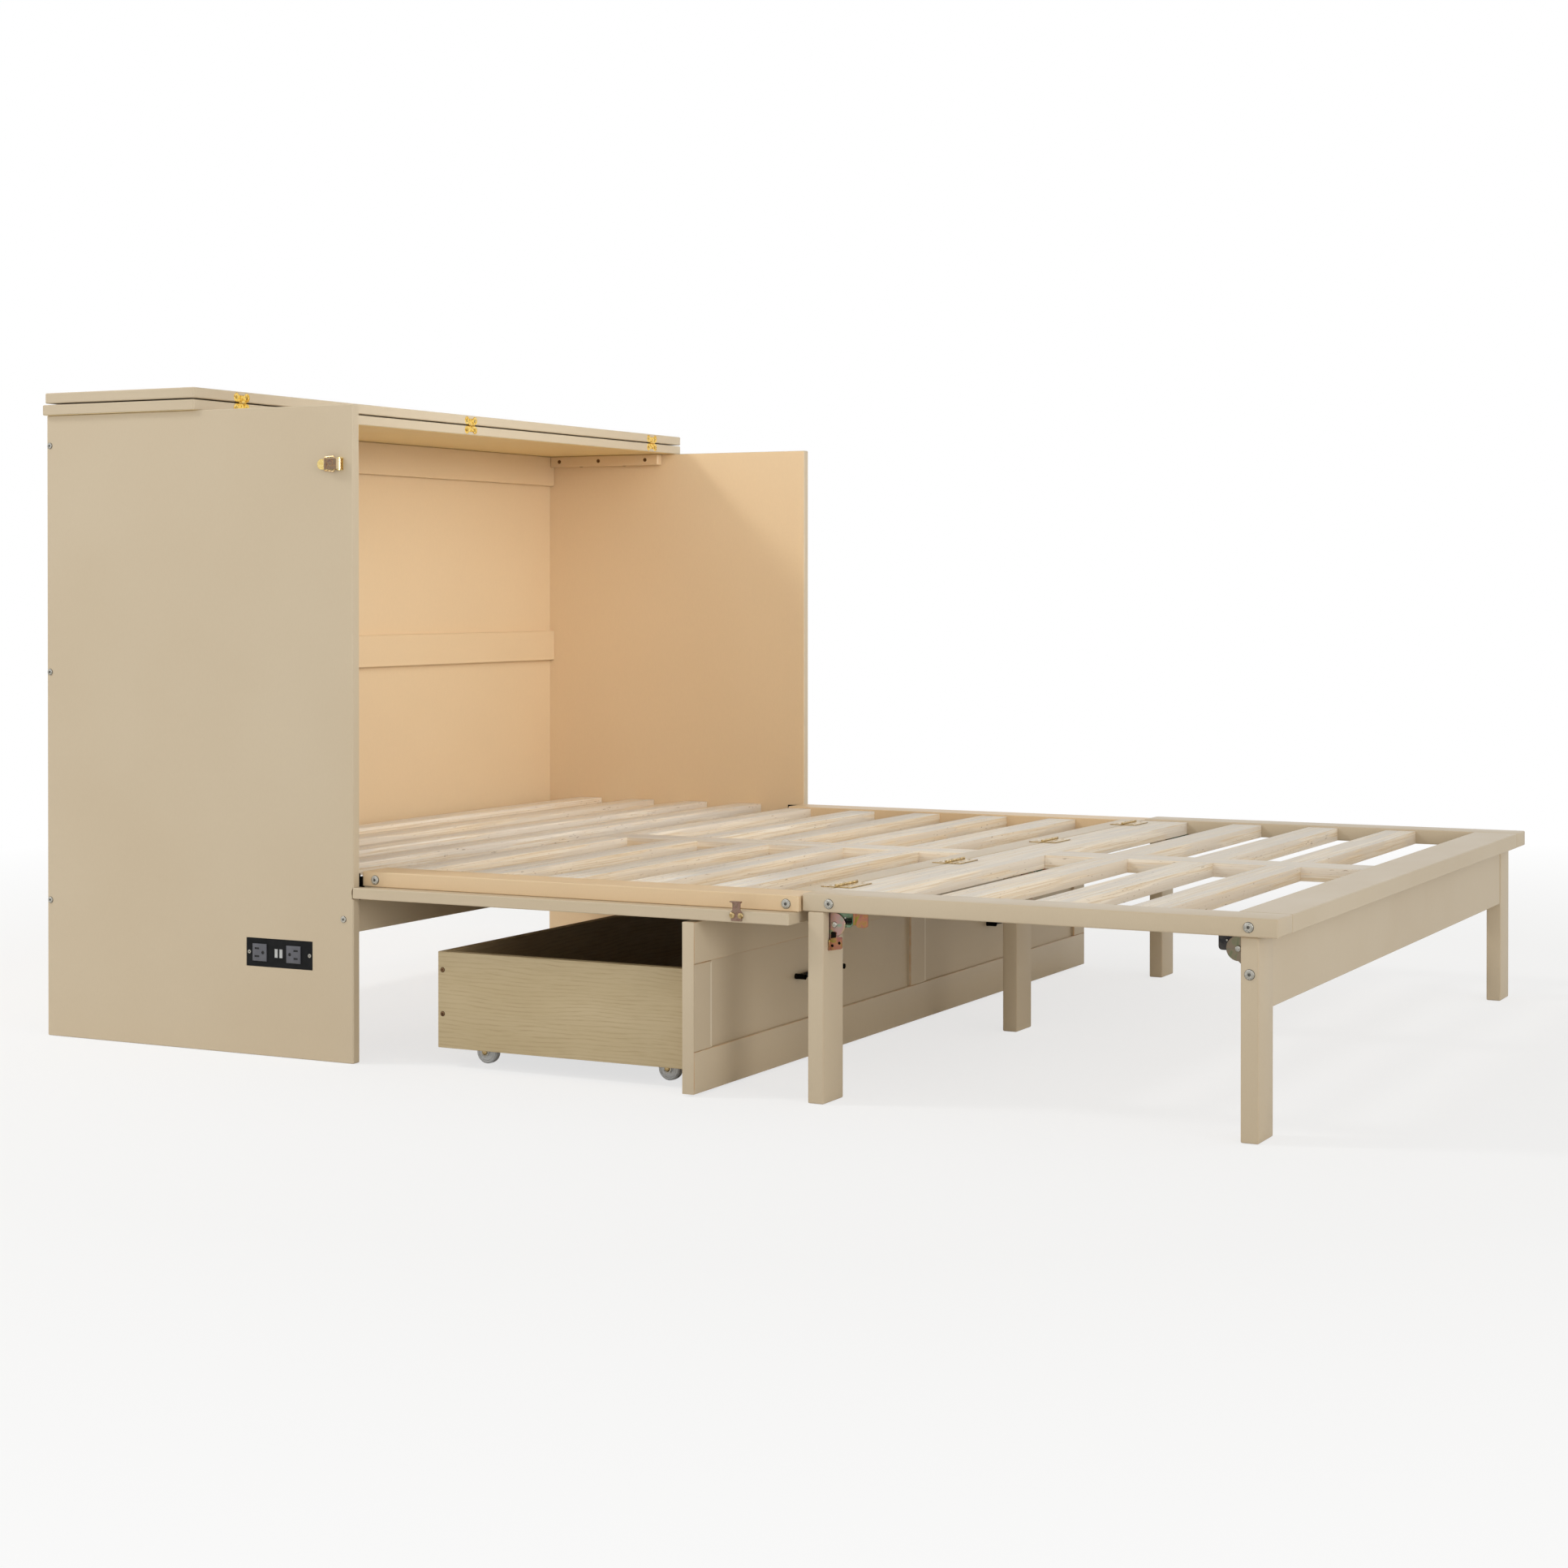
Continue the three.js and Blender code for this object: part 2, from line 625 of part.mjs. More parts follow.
function addMiddleSection() {
  const slab = board([-halfWidth, doorFootY, doorBottomZ], [halfWidth, doorHeadY, doorTopZ]);
  const bevel = platePlane(new THREE.Shape([
    new THREE.Vector2(doorHeadY + 0.5, doorBottomZ - 3.5),
    new THREE.Vector2(doorHeadY + 3, doorTopZ + 1),
    new THREE.Vector2(doorHeadY - doorHeadBevel, doorTopZ + 1),
    new THREE.Vector2(doorHeadY - doorHeadBevel, doorTopZ),
  ]), -halfWidth - 1, cabinetWidth + 2);
  const recesses = [-1, 1].map((side) => {
    const inner0 = drawerCentreStile / 2;
    const outer0 = halfWidth - doorStile;
    const [x0, x1] = side > 0 ? [inner0, outer0] : [-outer0, -inner0];
    return block(
      [x0, doorFootY + doorRail, doorBottomZ - 1],
      [x1, doorHeadY - doorRail, doorBottomZ + doorRecess],
    );
  });
  const notches = [-1, 1].map((side) => {
    const [x0, x1] = side > 0
      ? [middleRailX - 1, innerHalf + 1]
      : [-innerHalf - 1, -middleRailX + 1];
    return block([x0, doorAxisY - 11, doorBottomZ - 1], [x1, doorHeadY + 1, doorTopZ + 1]);
  });
  add('door_panel', cut(slab, bevel, ...recesses, ...notches), finish(paint, 0.5, 0));

  addPair('middle_rail', board(
    [-middleRailX, middleFootY, middleFrameZ],
    [-middleRailX + frameRailWidth, middleHeadY, middleRailTop],
  ), paint, 0.5);

  // laths in two halves against a spine
  const lathX = middleRailX - frameRailWidth - seat;
  const lathTop = middleFrameZ + lathThick;
  const parts = [block([-spineWidth / 2, endBoardY, middleFrameZ], [spineWidth / 2, middleHeadY, lathTop])];
  for (let i = 0; i < middleLathCount; i += 1) {
    const footY = middleHeadY - middleLathStart - i * middleLathPitch;
    const headY = Math.min(footY + lathWidth, middleHeadY);
    parts.push(block([-lathX, footY, middleFrameZ], [lathX, headY, lathTop]));
  }
  add('middle_laths', join(...parts), finish(wood, 0.75, 0));

  // painted board along the fold, with the hinges' fixed leaves screwed to it
  const endBoard = board(
    [-lathX, middleFootY, middleFrameZ],
    [lathX, middleFootY + middleEndBoardWidth, hingeBoardTop],
    0.8,
  );
  const leaves = foldHingeX.map((x) => foldHinge.fixed.clone().translate(x, foldAxisY, foldAxisZ - 0.01));
  add('middle_end_board', join(endBoard, ...leaves), finish(paint, 0.5, 0));
}

// ---------- leg brackets ----------
// Both plates are drawn with the leg's face at u = 0, u growing away from the leg, and the
// frame's underside at v = 0. way is +1 or -1, the direction of u along Y.
function bracketShape(points, way, faceY) {
  const shape = new THREE.Shape();
  points(shape);
  const outline = shape.getPoints(5).map((p) => new THREE.Vector2(faceY + way * p.x, footFrameZ + p.y));
  return new THREE.Shape(outline);
}

// plate screwed to the leg: a flange on the leg and a quarter-round web round the pivot
function legPlate(x, faceY, way) {
  const web = bracketShape((s) => {
    s.moveTo(0, -1);
    s.lineTo(legPivotOut, -1);
    s.absarc(legPivotOut, -legPivotDrop, bracketRadius, Math.PI / 2, -Math.PI / 4, true);
    s.lineTo(2, -legPivotDrop - bracketTail);
    s.lineTo(0, -legPivotDrop - bracketTail);
    s.closePath();
  }, way, faceY);
  const webX = x - bracketFlange / 2;
  const y0 = way > 0 ? faceY - 0.2 : faceY - plateThick;
  const flange = block(
    [webX, y0, legPivotZ - bracketTail],
    [webX + bracketFlange, y0 + plateThick + 0.2, footFrameZ - 1],
  );
  const pivotY = faceY + way * legPivotOut;
  const rivet = barX(rivetRadius * 0.6, webX + 1, webX + 2 * plateThick + 2.5, pivotY, legPivotZ, 12);
  const head = barX(rivetRadius, webX - 1.2, webX + 0.5, pivotY, legPivotZ, 12);
  return [platePlane(web, webX, plateThick), flange, rivet, head];
}

// plate screwed to the frame: a flange under it and a web beside the leg plate's web
function railPlate(x, faceY, way) {
  const webX = x - bracketFlange / 2 + plateThick + seat;
  // the corner under the pivot is rounded to stay inside the turning leg plate's flange
  const corner = legPivotOut - plateThick - flangeGap;
  const web = bracketShape((s) => {
    s.moveTo(plateThick + flangeGap, 0.2);
    s.lineTo(bracketReach, 0.2);
    s.lineTo(bracketReach, -railPlateHeight + 3);
    s.lineTo(bracketReach - 4, -railPlateHeight);
    s.lineTo(legPivotOut, -legPivotDrop - corner);
    s.absarc(legPivotOut, -legPivotDrop, corner, -Math.PI / 2, -Math.PI, true);
    s.closePath();
  }, way, faceY);
  const reach = [faceY + way * (plateThick + flangeGap), faceY + way * bracketReach];
  const [y0, y1] = reach.sort((a, b) => a - b);
  const flange = block(
    [webX, y0, footFrameZ - plateThick],
    [webX + bracketFlange - plateThick - seat, y1, footFrameZ + 0.2],
  );
  const pivotY = faceY + way * legPivotOut;
  const bore = barX(rivetRadius * 0.6 + 0.3, webX - 1, webX + plateThick + 1, pivotY, legPivotZ, 12);
  return { add: [platePlane(web, webX, plateThick), flange], bore };
}

function leg(x, headY, faceY, way) {
  const post = board(
    [x - legWidth / 2, headY - legDepth, 0],
    [x + legWidth / 2, headY, legTopZ],
    1,
  );
  return join(post, ...legPlate(x, faceY, way));
}

// ---------- foot section ----------
function addFootSection() {
  const middleLegX = halfWidth - middleLegInset - legWidth / 2;
  const footLegX = halfWidth - footLegInset - legWidth / 2;
  const middleFace = middleLegY - legDepth;

  const middleRailPlate = railPlate(-middleLegX, middleFace, -1);
  const footRailPlate = railPlate(-footLegX, footLegY, 1);
  const rail = board(
    [-footRailX, footEndY, footFrameZ],
    [-footRailX + frameRailWidth, footHeadY, footRailTop],
  );
  const leftRail = cut(
    join(rail, ...middleRailPlate.add, ...footRailPlate.add),
    middleRailPlate.bore,
    footRailPlate.bore,
  );
  addPair('foot_rail', leftRail, paint, 0.5);

  const footBoard = board(
    [-footBoardX, footEndY, footFrameZ],
    [footBoardX, footEndY + footBoardWidth, footRailTop],
  );
  add('foot_board', footBoard, finish(paint, 0.4, 0));

  // head board, laths and spine in bare wood, with the hinges' moving leaves on the head board
  const parts = [
    block([-footBoardX, footHeadY - footHeadBoardWidth, footFrameZ], [footBoardX, footHeadY, hingeBoardTop]),
    block(
      [-spineWidth / 2, footEndY + footBoardWidth + seat, footFrameZ],
      [spineWidth / 2, footHeadY - 1, hingeBoardTop],
    ),
  ];
  for (let i = 0; i < footLathCount; i += 1) {
    const footY = footHeadY - footLathStart - i * footLathPitch;
    parts.push(block([-footBoardX, footY, footFrameZ], [footBoardX, footY + lathWidth, hingeBoardTop]));
  }
  for (const x of foldHingeX) {
    parts.push(foldHinge.moving.clone().rotateZ(Math.PI).translate(x, foldAxisY, foldAxisZ - 0.01));
  }
  const centrePlate = railPlate(0, middleFace, -1);
  add('foot_laths', cut(join(...parts, ...centrePlate.add), centrePlate.bore), finish(wood, 0.75, 0));

  addPair('middle_leg', leg(-middleLegX, middleLegY, middleFace, -1), paint, 0.5);
  add('middle_leg_centre', leg(0, middleLegY, middleFace, -1), finish(paint, 0.5, 0));
  addPair('foot_leg', leg(-footLegX, footLegY, footLegY, 1), paint, 0.5);

  const apronX = footLegX - legWidth / 2 - seat;
  const apronY = footLegY - legDepth + apronSetback;
  add('foot_apron', board(
    [-apronX, apronY, legTopZ - apronHeight],
    [apronX, apronY + apronThick, legTopZ],
  ), finish(paint, 0.5, 0));
}

// ---------- drawer ----------
function addDrawer() {
  const half = halfWidth + drawerFrontOverhang;
  const topZ = drawerFrontZ + drawerFrontHeight;
  const face = board([-half, drawerFrontY, drawerFrontZ], [half, drawerFaceY, topZ]);
  const recesses = [-1, 1].map((side) => {
    const [x0, x1] = side > 0
      ? [drawerCentreStile / 2, half - drawerStile]
      : [-half + drawerStile, -drawerCentreStile / 2];
    return panelRecess(x0, x1, drawerFrontZ + drawerRail, topZ - drawerRail, drawerFrontY, drawerRecess);
  });
  add('drawer_front', cut(face, ...recesses), finish(paint, 0.5, 0));

  const sideY = drawerFaceY + seat;
  const backY = sideY + drawerBoxDepth;
  const boxTop = drawerBoxZ + drawerBoxHeight;
  const side = board(
    [-drawerBoxX, sideY, drawerBoxZ],
    [-drawerBoxX + drawerBoxThick, backY, boxTop],
    0.6,
  );
  addPair('drawer_side', side, melamine, 0.5);
  const innerX = drawerBoxX - drawerBoxThick - seat;
  add('drawer_back', board([-innerX, backY - drawerBoxThick, drawerBoxZ], [innerX, backY, boxTop], 0.6),
    finish(melamine, 0.5, 0));

  // bottom panel with the castors' forks and axles under it
  const bottomZ = drawerBoxZ + drawerBottomLift;
  const parts = [block(
    [-innerX, sideY, bottomZ],
    [innerX, backY - drawerBoxThick - seat, bottomZ + drawerBottomThick],
  )];
  const wheelYs = [backY - wheelBackInset, sideY + wheelFrontInset];
  const forkX = wheelWidth / 2 + forkGap;
  for (const x of [-wheelX, wheelX]) {
    for (const y of wheelYs) {
      parts.push(block(
        [x - forkX - forkThick, y - 16, bottomZ - forkThick],
        [x + forkX + forkThick, y + 16, bottomZ + 0.2],
      ));
      for (const side of [-1, 1]) {
        const cheek = new THREE.Shape();
        cheek.moveTo(y - 14, bottomZ - 0.5);
        cheek.lineTo(y - 6, wheelRadius - 2);
        cheek.absarc(y, wheelRadius, 6, -Math.PI * 0.9, -Math.PI * 0.1, false);
        cheek.lineTo(y + 14, bottomZ - 0.5);
        cheek.closePath();
        const x0 = side > 0 ? x + forkX : x - forkX - forkThick;
        parts.push(platePlane(cheek, x0, forkThick, 4));
      }
      parts.push(barX(axleRadius, x - forkX - forkThick - 1, x + forkX + forkThick + 1, y, wheelRadius));
    }
  }
  add('drawer_bottom', join(...parts), finish(melamine, 0.5, 0));

  wheelYs.forEach((y, row) => {
    [-wheelX, wheelX].forEach((x, column) => {
      const name = `castor_wheel_${['back', 'front'][row]}_${['left', 'right'][column]}`;
      add(name, castorWheel(), finish(grey, 0.4, 0)).position.set(x, y, wheelRadius);
    });
  });

  const panelCentre = (drawerCentreStile / 2 + half - drawerStile) / 2;
  const panelFaceY = drawerFrontY + drawerRecess;
  for (const side of [-1, 1]) {
    add(`drawer_handle_${side < 0 ? 'left' : 'right'}`, bowHandle(), finish(dark, 0.35, 0.8))
      .position.set(side * panelCentre, panelFaceY - seat, drawerFrontZ + handleRise);
  }
}

// wheel with a rounded tread, a dished side and a hub, turned about X
function castorWheel() {
  const w = wheelWidth / 2;
  const r = wheelRadius;
  const bore = axleRadius + 0.3;
  const half = [
    [bore, w],
    [bore + 3, w],
    [bore + 4, w - 2],
    [r - 6, w - 2],
    [r - 4.5, w - 0.5],
    [r - 2, w - 1],
    [r, w - 4],
  ];
  const profile = [
    ...half.map(([radius, x]) => new THREE.Vector2(radius, -x)),
    ...half.reverse().map(([radius, x]) => new THREE.Vector2(radius, x)),
  ];
  profile.push(profile[0].clone());
  return toGeometry(toSolid(new THREE.LatheGeometry(profile, 20).rotateZ(-Math.PI / 2)));
}

// round bar bent into two feet, lying along X with its feet on y = 0
function bowHandle() {
  const end = handleLength / 2 - handleRadius;
  const out = -handleReach;
  const path = new THREE.CurvePath();
  const v = (x, y) => new THREE.Vector3(x, y, 0);
  path.add(new THREE.LineCurve3(v(-end, 0), v(-end, out + handleBend)));
  path.add(new THREE.QuadraticBezierCurve3(v(-end, out + handleBend), v(-end, out), v(-end + handleBend, out)));
  path.add(new THREE.LineCurve3(v(-end + handleBend, out), v(end - handleBend, out)));
  path.add(new THREE.QuadraticBezierCurve3(v(end - handleBend, out), v(end, out), v(end, out + handleBend)));
  path.add(new THREE.LineCurve3(v(end, out + handleBend), v(end, 0)));
  const section = new THREE.Shape();
  section.absarc(0, 0, handleRadius, 0, 2 * Math.PI, false);
  return new THREE.ExtrudeGeometry(section, { extrudePath: path, steps: 34, curveSegments: 4 });
}

// ---------- outlet panel ----------
function addOutlet() {
  const faceX = -halfWidth + 0.2;
  const parts = [
    block(
      [faceX, outletY - outletWidth / 2, outletZ - outletHeight / 2],
      [faceX + outletPlate - seat - 0.2, outletY + outletWidth / 2, outletZ + outletHeight / 2],
    ),
    block(
      [faceX + 1, outletY - outletBodyWidth / 2, outletZ - outletBodyHeight / 2],
      [-innerHalf + outletBodyDepth, outletY + outletBodyWidth / 2, outletZ + outletBodyHeight / 2],
    ),
  ];
  const slots = [];
  const slot = (y, z, wide, high) => slots.push(block(
    [faceX - socketProud - 1, y - wide / 2, z - high / 2],
    [faceX + 8, y + wide / 2, z + high / 2],
  ));
  for (const side of [-1, 1]) {
    const y = outletY + socketShift + side * socketOffset;
    parts.push(board(
      [faceX - socketProud, y - socketSize / 2, outletZ - socketSize / 2],
      [faceX + 1, y + socketSize / 2, outletZ + socketSize / 2],
      0.5,
    ));
    slot(y + side * 5.5, outletZ + 6.4, 8, 2.2);
    slot(y + side * 5.5, outletZ - 6.4, side > 0 ? 9 : 7, 2.2);
    slots.push(barX(2.5, faceX - socketProud - 1, faceX + 8, y - side * 7, outletZ, 12));
    slot(outletY + portShift + side * 4.75, outletZ, 5.5, 13.5);
  }
  add('outlet_panel', cut(join(...parts), ...slots), finish(black, 0.4, 0));
}

// ---------- draw latches ----------
// Drawn on the left side panel: p runs to the foot from the plate's back end, q outwards.
function latchPoint(p, q) {
  return [-halfWidth - seat - q, latchBackY - p];
}

function latchPin(p, q, radius, half) {
  const [x, y] = latchPoint(p, q);
  const pin = new THREE.CylinderGeometry(radius, radius, 2 * half, 12);
  return pin.rotateX(Math.PI / 2).translate(x, y, latchZ);
}

// outline in (p, q), extruded between two heights
function latchProfile(points, r0, r1) {
  const outline = new THREE.Shape(points.map(([p, q]) => new THREE.Vector2(...latchPoint(p, q))));
  return new THREE.ExtrudeGeometry(outline, { depth: r1 - r0, bevelEnabled: false })
    .translate(0, 0, latchZ + r0);
}

// points on a circle round the lever's pivot, from one angle to another; 0 degrees looks to the foot
function roll(radius, from, to, steps) {
  return Array.from({ length: steps + 1 }, (unused, i) => {
    const angle = THREE.MathUtils.degToRad(from + ((to - from) * i) / steps);
    return [latchPivotAt + radius * Math.cos(angle), latchPivotRise + radius * Math.sin(angle)];
  });
}

// plate with a round tail and two ears for the lever's pin
function latchBase(earIn) {
  const earOut = earIn + latchSheet;
  const tail = latchTailWidth / 2;
  const endY = latchBackY - latchLength;
  const shape = new THREE.Shape();
  shape.absarc(latchBackY - tail, latchZ, tail, Math.PI * 1.5, Math.PI * 0.5, false);
  shape.lineTo(endY + 14, latchZ + tail);
  shape.lineTo(endY + 11, latchZ + earOut);
  shape.lineTo(endY, latchZ + earOut);
  shape.lineTo(endY, latchZ - earOut);
  shape.lineTo(endY + 11, latchZ - earOut);
  shape.lineTo(endY + 14, latchZ - tail);
  shape.closePath();
  const plate = platePlane(shape, -halfWidth - seat - latchPlate, latchPlate, 8);
  const ear = [
    [latchPivotAt + 4, latchPlate - 0.3],
    ...roll(2.8, 20, 160, 4),
    [latchPivotAt - 4, latchPlate - 0.3],
  ];
  return join(
    plate,
    latchProfile(ear, earIn, earOut),
    latchProfile(ear, -earOut, -earIn),
    latchPin(latchPivotAt, latchPivotRise, latchPinRadius, earOut),
  );
}

// thumb plate that rolls round the pin at its front, with a cheek along each edge
function latchLever(bailP) {
  const half = latchLeverWidth / 2;
  const skin = latchPivotRise + latchRoll;
  const tip = latchPivotAt - latchLeverLength;
  const sheet = [
    [tip, skin - 0.4],
    [tip + 0.4, skin + 0.8],
    [tip + 4, skin],
    ...roll(latchRoll, 90, -80, 8),
    ...roll(latchRoll - latchSheet, -80, 90, 8),
    [tip + 4, skin - latchSheet],
  ];
  const cheek = [
    ...roll(latchRoll - 0.2, -70, 90, 6),
    [tip + 5, skin - 0.2],
    [tip + 5, skin - 2.5],
    [bailP - 3, bailPinRise - 2.6],
    [bailP, bailPinRise - 2.8],
  ];
  const body = join(
    latchProfile(sheet, -half, half),
    latchProfile(cheek, half - latchSheet, half),
    latchProfile(cheek, -half, -half + latchSheet),
  );
  return cut(
    body,
    latchPin(latchPivotAt, latchPivotRise, latchPinRadius + latchPinGap, half + 1),
    latchPin(bailP, bailPinRise, bailWire + latchPinGap, half + 1),
  );
}

// wire loop folded back round the lever; its ends turn into the lever's cheeks
function latchBail(bailP) {
  const point = (along, r) => {
    const [x, y] = latchPoint(bailP - along, bailPinRise);
    return new THREE.Vector3(x, y, latchZ + r);
  };
  const corners = [
    point(0, latchLeverWidth / 2 - latchSheet - 1),
    point(0, bailEyeHalf),
    point(bailLength, bailEndHalf),
    point(bailLength, -bailEndHalf),
    point(0, -bailEyeHalf),
    point(0, -latchLeverWidth / 2 + latchSheet + 1),
  ];
  const path = new THREE.CurvePath();
  let from = corners[0];
  for (let i = 1; i < corners.length - 1; i += 1) {
    const bend = i === 1 || i === 4 ? bailBend * 0.6 : bailBend;
    const before = corners[i].clone().lerp(corners[i - 1], bend / corners[i].distanceTo(corners[i - 1]));
    const after = corners[i].clone().lerp(corners[i + 1], bend / corners[i].distanceTo(corners[i + 1]));
    path.add(new THREE.LineCurve3(from, before));
    path.add(new THREE.QuadraticBezierCurve3(before, corners[i], after));
    from = after;
  }
  path.add(new THREE.LineCurve3(from, corners[5]));
  const section = new THREE.Shape();
  section.absarc(0, 0, bailWire, 0, 2 * Math.PI, false);
  return new THREE.ExtrudeGeometry(section, { extrudePath: path, steps: 34, curveSegments: 4 });
}

// strike on the door's edge, set so that the shut door brings its lip inside the thrown loop
function strike(bailP) {
  const y = doorAxisY - (latchZ - doorAxisZ);
  const hookedY = latchBackY - bailP - bailLength + bailWire + lipGap;
  const lipZ = doorAxisZ + hookedY - doorAxisY;
  const outline = new THREE.Shape();
  outline.moveTo(y - strikeWidth / 2, doorBottomZ + 2.5);
  outline.lineTo(y + strikeWidth / 2, doorBottomZ + 2.5);
  outline.lineTo(y + strikeWidth / 2, doorTopZ - 2);
  outline.lineTo(y + strikeNeck / 2, doorTopZ + 1.5);
  outline.lineTo(y + strikeNeck / 2, lipZ - 2.5);
  outline.lineTo(y + strikeWidth / 2, lipZ);
  outline.lineTo(y + strikeWidth / 2, lipZ + lipThick);
  outline.lineTo(y - strikeWidth / 2, lipZ + lipThick);
  outline.lineTo(y - strikeWidth / 2, lipZ);
  outline.lineTo(y - strikeNeck / 2, lipZ - 2.5);
  outline.lineTo(y - strikeNeck / 2, doorTopZ + 1.5);
  outline.lineTo(y - strikeWidth / 2, doorTopZ - 2);
  outline.closePath();
  const outerX = -halfWidth - seat - latchPlate;
  return join(
    platePlane(outline, outerX, latchPlate),
    block(
      [-halfWidth - seat - lipStandoff, y - strikeWidth / 2, lipZ],
      [outerX + 0.5, y + strikeWidth / 2, lipZ + lipThick],
    ),
  );
}

function addLatches() {
  const bailP = latchPivotAt - bailPinBack;
  const earIn = latchLeverWidth / 2 + 0.4;
  addPair('latch_base', latchBase(earIn), brass, 0.3, 1);
  addPair('latch_lever', latchLever(bailP), steel, 0.3, 1);
  addPair('latch_bail', latchBail(bailP), brass, 0.3, 1);
  addPair('strike', strike(bailP), steel, 0.35, 1);
}

addCabinet();
addPlatform();
addTop();
addPair('door_pivot_plate', doorPivotPlate(), dark, 0.4, 1);
addPair('door_pivot_arm', doorPivotArm(), dark, 0.4, 1);
addMiddleSection();
addFootSection();
addDrawer();
addOutlet();
addLatches();

// the origin stands on the floor in the middle of the open bed's outline
const model = new THREE.Group();
bed.position.y = -(topBackY + footEndY) / 2;
model.add(bed);

export default model;
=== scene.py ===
import math
import random
from functools import partial

import bpy
from mathutils import Matrix, Vector


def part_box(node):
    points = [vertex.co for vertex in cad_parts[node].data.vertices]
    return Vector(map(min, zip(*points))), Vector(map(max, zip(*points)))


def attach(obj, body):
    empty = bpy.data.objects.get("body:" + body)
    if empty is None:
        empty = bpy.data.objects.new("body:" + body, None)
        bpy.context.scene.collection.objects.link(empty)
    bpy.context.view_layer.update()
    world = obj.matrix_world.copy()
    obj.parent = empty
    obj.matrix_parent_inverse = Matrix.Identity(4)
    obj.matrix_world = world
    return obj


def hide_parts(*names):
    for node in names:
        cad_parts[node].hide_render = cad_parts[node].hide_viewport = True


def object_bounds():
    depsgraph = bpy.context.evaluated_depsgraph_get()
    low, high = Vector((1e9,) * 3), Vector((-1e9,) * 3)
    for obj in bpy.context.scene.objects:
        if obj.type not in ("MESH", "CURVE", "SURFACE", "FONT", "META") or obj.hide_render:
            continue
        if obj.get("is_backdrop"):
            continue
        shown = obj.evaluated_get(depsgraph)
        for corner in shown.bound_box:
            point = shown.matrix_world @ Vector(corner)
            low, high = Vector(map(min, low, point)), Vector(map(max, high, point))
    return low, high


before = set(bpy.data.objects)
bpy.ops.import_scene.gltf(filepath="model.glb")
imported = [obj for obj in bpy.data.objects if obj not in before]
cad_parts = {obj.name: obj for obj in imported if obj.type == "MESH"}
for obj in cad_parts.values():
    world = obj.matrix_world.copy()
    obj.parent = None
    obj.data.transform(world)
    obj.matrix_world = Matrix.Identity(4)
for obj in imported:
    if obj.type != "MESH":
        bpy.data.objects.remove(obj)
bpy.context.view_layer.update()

MM = 0.001
X, Y, Z = 0, 1, 2
SIDES = (("left", -1), ("right", 1))
draw = random.Random(11)

# ---------- camera ----------
CAMERA_PLACE = (-4.3946, -2.1717, 0.7531)
# in degrees: almost level, and turned from the cabinet's back towards its right side
CAMERA_TILT, CAMERA_TURN = 89.6, -62.9
CAMERA_LENS, FILM_WIDTH, FILM_SHIFT, FARTHEST = 62.903, 36, -0.1095, 200


def set_camera():
    camera = bpy.data.cameras.new("camera")
    camera.lens = CAMERA_LENS
    camera.sensor_width = FILM_WIDTH
    camera.shift_y = FILM_SHIFT
    camera.clip_end = FARTHEST
    seen_from = bpy.data.objects.new("camera", camera)
    bpy.context.collection.objects.link(seen_from)
    seen_from.location = CAMERA_PLACE
    seen_from.rotation_euler = (math.radians(CAMERA_TILT), 0, math.radians(CAMERA_TURN))
    bpy.context.scene.camera = seen_from


# ---------- node and colour helpers ----------
def srgb(text):
    """The linear colour of an sRGB hex value."""
    channels = [int(text[i:i + 2], 16) / 255 for i in (0, 2, 4)]
    return (*(c / 12.92 if c <= 0.04045 else ((c + 0.055) / 1.055) ** 2.4 for c in channels), 1.0)


def add_node(tree, kind, sockets=(), **settings):
    """Adds a shader node, with its settings and what goes into its sockets.

    sockets is a list in the node's own order, or a dict by socket. A socket takes a number, a vector,
    a colour's hex value, another node's socket, or a node, whose first output in use goes in.
    """
    made = tree.nodes.new("ShaderNode" + kind)
    for key, value in settings.items():
        setattr(made, key, value)
    for key, value in sockets.items() if isinstance(sockets, dict) else enumerate(sockets):
        if isinstance(value, bpy.types.Node):
            value = next(output for output in value.outputs if output.enabled)
        if isinstance(value, bpy.types.NodeSocket):
            tree.links.new(value, made.inputs[key])
        else:
            made.inputs[key].default_value = srgb(value) if isinstance(value, str) else value
    return made


def set_stops(ramp, stops):
    """Gives a colour ramp its stops, each a position and a hex value."""
    points = ramp.color_ramp.elements
    while len(points) < len(stops):
        points.new(0.5)
    for point, (position, colour) in zip(points, stops):
        point.position = position
        point.color = srgb(colour)
    return ramp


def blank(name):
    """A material with an empty node tree, and the function that adds nodes to it."""
    material = bpy.data.materials.new(name)
    material.use_nodes = True
    material.node_tree.nodes.clear()
    return material, partial(add_node, material.node_tree)


def stretched(add, scale):
    """Object coordinates scaled by an amount for each axis, in repeats a metre."""
    return add("Mapping", {"Vector": add("TexCoord").outputs["Object"], "Scale": scale})


def drawn_out(add, axis, across, lengthwise):
    """Object coordinates for a pattern that is drawn out along one axis, in repeats a metre."""
    scale = [across] * 3
    scale[axis] = lengthwise
    return stretched(add, scale)


